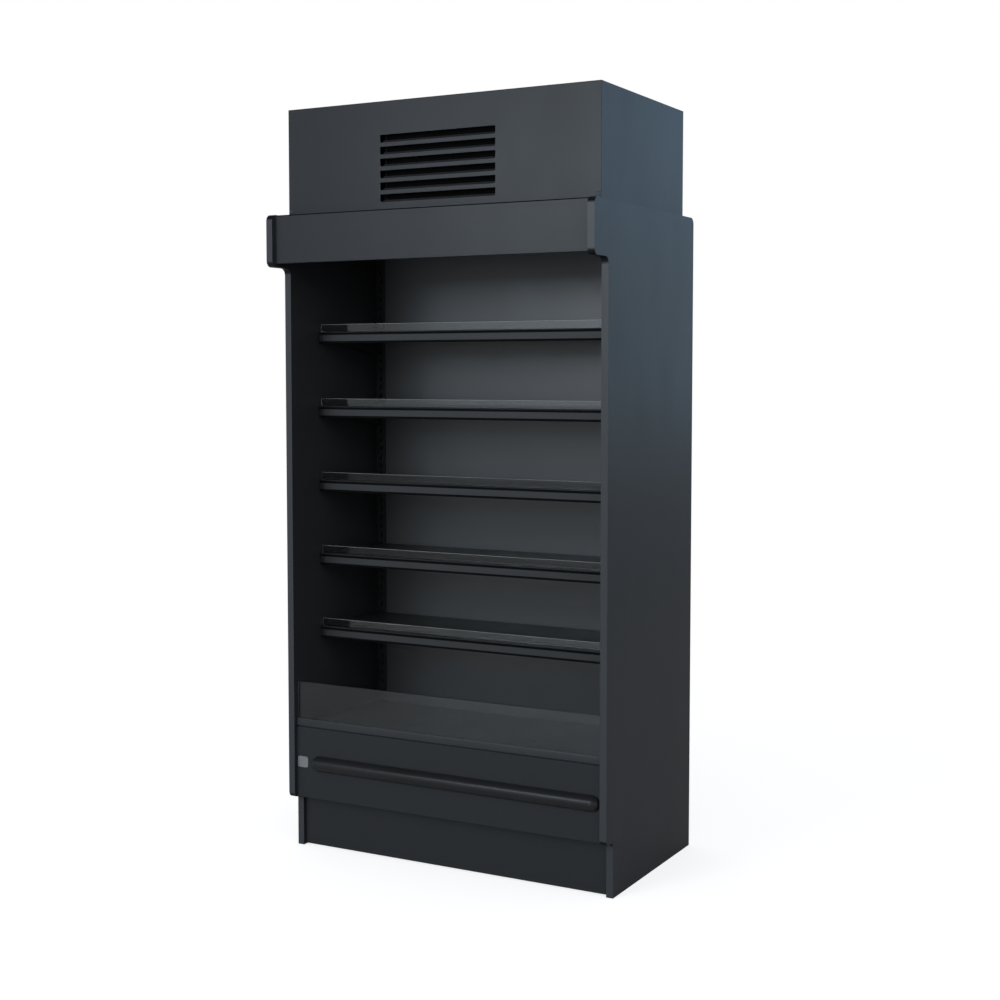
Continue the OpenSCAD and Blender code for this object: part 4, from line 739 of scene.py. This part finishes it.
edgeRounding = {
    "left_end_panel": 0.0018, "right_end_panel": 0.0018,
    "plant_front": 0.0004, "plant_shell": 0.0004, "plant_lid": 0.0004, "canopy_fascia": 0.0012,
    "lower_front_panel": 0.0004, "kick_plate": 0.0004, "badge_plate": 0.0004, "riser_holder": 0.0004,
    "rear_grille": 0.0003, "insulated_back": 0.0006,
}
roundedEdge = {"angle": 35, "segments": 2, "weldReach": 0.00001}

for name, width in edgeRounding.items():
    node = nodes[name]
    weld = node.modifiers.new("weld", "WELD")
    weld.merge_threshold = roundedEdge["weldReach"]
    bevel = node.modifiers.new("edges", "BEVEL")
    bevel.width = width
    bevel.segments = roundedEdge["segments"]
    bevel.limit_method = "ANGLE"
    bevel.angle_limit = math.radians(roundedEdge["angle"])
    bevel.harden_normals = False
    even = node.modifiers.new("even", "WEIGHTED_NORMAL")
    even.keep_sharp = False
print("edges softened:", len(edgeRounding))


# Studio

studio = {
    "floorSize": 60.0, "floorTone": 0.42, "floorShades": (0.98, 1.02), "floorPatch": 0.8,
    "floorGloss": 0.9, "floorShine": 0.1,
    "paperTone": 0.6, "paperLift": 0.70,   # the floor as the camera sees it, lifted to white
    "shadowReach": (1.3, 2.6),  # the floor fades from lit paper to plain white between these distances
    "ambient": (0.80, 0.795, 0.79), "ambientTop": (0.33, 0.33, 0.34),
    "mirrorLeft": (0.35, 0.37, 0.39),  # what gloss picks up at the horizon, in front and behind
    "mirrorRight": (0.88, 0.94, 1.0),
    "mirrorRear": (0.56, 0.79, 1.0),
    "mirrorTop": (0.02, 0.02, 0.025),
    "sideBlend": (-0.75, -0.2), "rearBlend": (-0.3, 0.3),   # where one tone turns into the next
    "mirrorFade": (0.05, 0.6), "ambientFade": (0.2, 0.9),
}


def backdropRays(tree):
    path = place(tree, "ShaderNodeLightPath").outputs
    bounced = combine(tree, "GREATER_THAN", path["Glossy Depth"], 0.5)
    inside = combine(tree, "MULTIPLY", path["Is Transmission Ray"], bounced)    # inside a clear sheet
    mirrored = combine(tree, "MAXIMUM", path["Is Glossy Ray"], inside)
    through = combine(tree, "SUBTRACT", path["Is Transmission Ray"], inside)
    return mirrored, combine(tree, "MAXIMUM", path["Is Camera Ray"], through)


def studioWorld():
    world = bpy.data.worlds.new("studio")
    bpy.context.scene.world = world
    world.use_nodes = True
    tree = world.node_tree
    tree.nodes.clear()
    mirroring, direct = backdropRays(tree)
    toward = place(tree, "ShaderNodeSeparateXYZ",
                   {"Vector": place(tree, "ShaderNodeTexCoord").outputs["Generated"]}).outputs
    ahead = blendTones(tree, spread(tree, toward["X"], 0, 1, *studio["sideBlend"]),
                       studio["mirrorLeft"] + (1,), studio["mirrorRight"] + (1,))
    horizon = blendTones(tree, spread(tree, toward["Y"], 0, 1, *studio["rearBlend"]),
                         ahead, studio["mirrorRear"] + (1,))
    mirror = blendTones(tree, spread(tree, toward["Z"], 0, 1, *studio["mirrorFade"]),
                        horizon, studio["mirrorTop"] + (1,))
    soft = blendTones(tree, spread(tree, toward["Z"], 0, 1, *studio["ambientFade"]),
                      studio["ambient"] + (1,), studio["ambientTop"] + (1,))
    ambient = place(tree, "ShaderNodeBackground", {"Color": soft}).outputs[0]
    mirrored = place(tree, "ShaderNodeBackground", {"Color": mirror}).outputs[0]
    white = place(tree, "ShaderNodeBackground", {"Color": (1, 1, 1, 1)}).outputs[0]
    unseen = place(tree, "ShaderNodeMixShader", {0: mirroring, 1: ambient, 2: mirrored})
    final = place(tree, "ShaderNodeMixShader", {0: direct, 1: unseen.outputs[0], 2: white})
    output = place(tree, "ShaderNodeOutputWorld")
    tree.links.new(final.outputs[0], output.inputs["Surface"])


def studioFloor():
    half = studio["floorSize"] / 2
    mesh = bpy.data.meshes.new("floor")
    corners = [(-half, -half, 0), (half, -half, 0), (half, half, 0), (-half, half, 0)]
    mesh.from_pydata(corners, [], [(0, 1, 2, 3)])
    floor = bpy.data.objects.new("floor", mesh)
    bpy.context.scene.collection.objects.link(floor)
    material, tree, shader, coords = startFinish("floorPaper", studio["floorGloss"],
                                                 shine=studio["floorShine"])
    paperLook = {"tone": (studio["floorTone"],) * 3, "shades": studio["floorShades"]}
    varyTone(tree, shader, cloud(tree, coords, studio["floorPatch"]), paperLook)
    seen = backdropRays(tree)[1]
    paper = place(tree, "ShaderNodeBsdfDiffuse", {"Color": shade((studio["paperTone"],) * 3, 1)})
    glow = place(tree, "ShaderNodeEmission", {"Strength": studio["paperLift"]})
    white = place(tree, "ShaderNodeEmission", {"Strength": 1.0})
    lifted = place(tree, "ShaderNodeAddShader", {0: paper.outputs[0], 1: glow.outputs[0]})
    distance = place(tree, "ShaderNodeVectorMath", {0: coords}, operation="LENGTH").outputs["Value"]
    away = spread(tree, distance, 0, 1, *studio["shadowReach"])
    backdrop = place(tree, "ShaderNodeMixShader", {0: away, 1: lifted.outputs[0], 2: white.outputs[0]})
    final = place(tree, "ShaderNodeMixShader", {0: seen, 1: shader.outputs[0], 2: backdrop.outputs[0]})
    tree.links.new(final.outputs[0], tree.nodes["Material Output"].inputs["Surface"])
    floor.data.materials.append(material)


lamps = {
    "key": {"place": (-1.5, -4.7, 2.45), "aim": (0.0, 0.0, 1.35), "size": (2.0, 1.3), "power": 50,
            "tone": (0.76, 0.89, 1.0), "mirrored": True},
    "window": {"place": (3.0, 5.0, 3.2), "aim": (0.4, 0.0, 1.6), "size": (4.5, 1.8), "power": 12,
               "tone": (0.35, 0.62, 1.0), "mirrored": True},
    "shelves": {"place": (-1.3, -4.7, 1.15), "aim": (0.0, 0.0, 1.25), "size": (1.6, 0.8), "power": 42,
                "tone": (0.85, 0.94, 1.0), "mirrored": False},
    "side": {"place": (4.2, -1.6, 2.7), "aim": (0.5, 0.0, 1.6), "size": (2.0, 1.5), "power": 16,
             "tone": (0.45, 0.75, 1.0), "mirrored": False},
    "low": {"place": (-0.8, -4.8, 0.5), "aim": (0.0, 0.0, 0.3), "size": (3.4, 0.9), "power": 4,
            "tone": (1.0, 1.0, 0.98), "mirrored": False},
    "front": {"place": (2.4, -4.2, 3.0), "aim": (-0.4, 0.0, 1.0), "size": (1.4, 1.2), "power": 18,
              "tone": (1.0, 1.0, 1.0), "mirrored": False},
}


def studioLamp(name, settings):
    data = bpy.data.lights.new(name, "AREA")
    data.shape = "RECTANGLE"
    data.size, data.size_y = settings["size"]
    data.energy = settings["power"]
    data.color = settings["tone"]
    lamp = bpy.data.objects.new(name, data)
    lamp.location = settings["place"]
    aim = Vector(settings["aim"]) - Vector(settings["place"])
    lamp.rotation_euler = aim.to_track_quat("-Z", "Y").to_euler()
    lamp.visible_camera = False
    lamp.visible_glossy = settings["mirrored"]
    lamp.visible_transmission = False
    bpy.context.scene.collection.objects.link(lamp)


studioWorld()
studioFloor()
for lampName, lampSettings in lamps.items():
    studioLamp(lampName, lampSettings)
bpy.context.scene.view_settings.view_transform = "Standard"
print("studio lit by", len(lamps), "lamps")
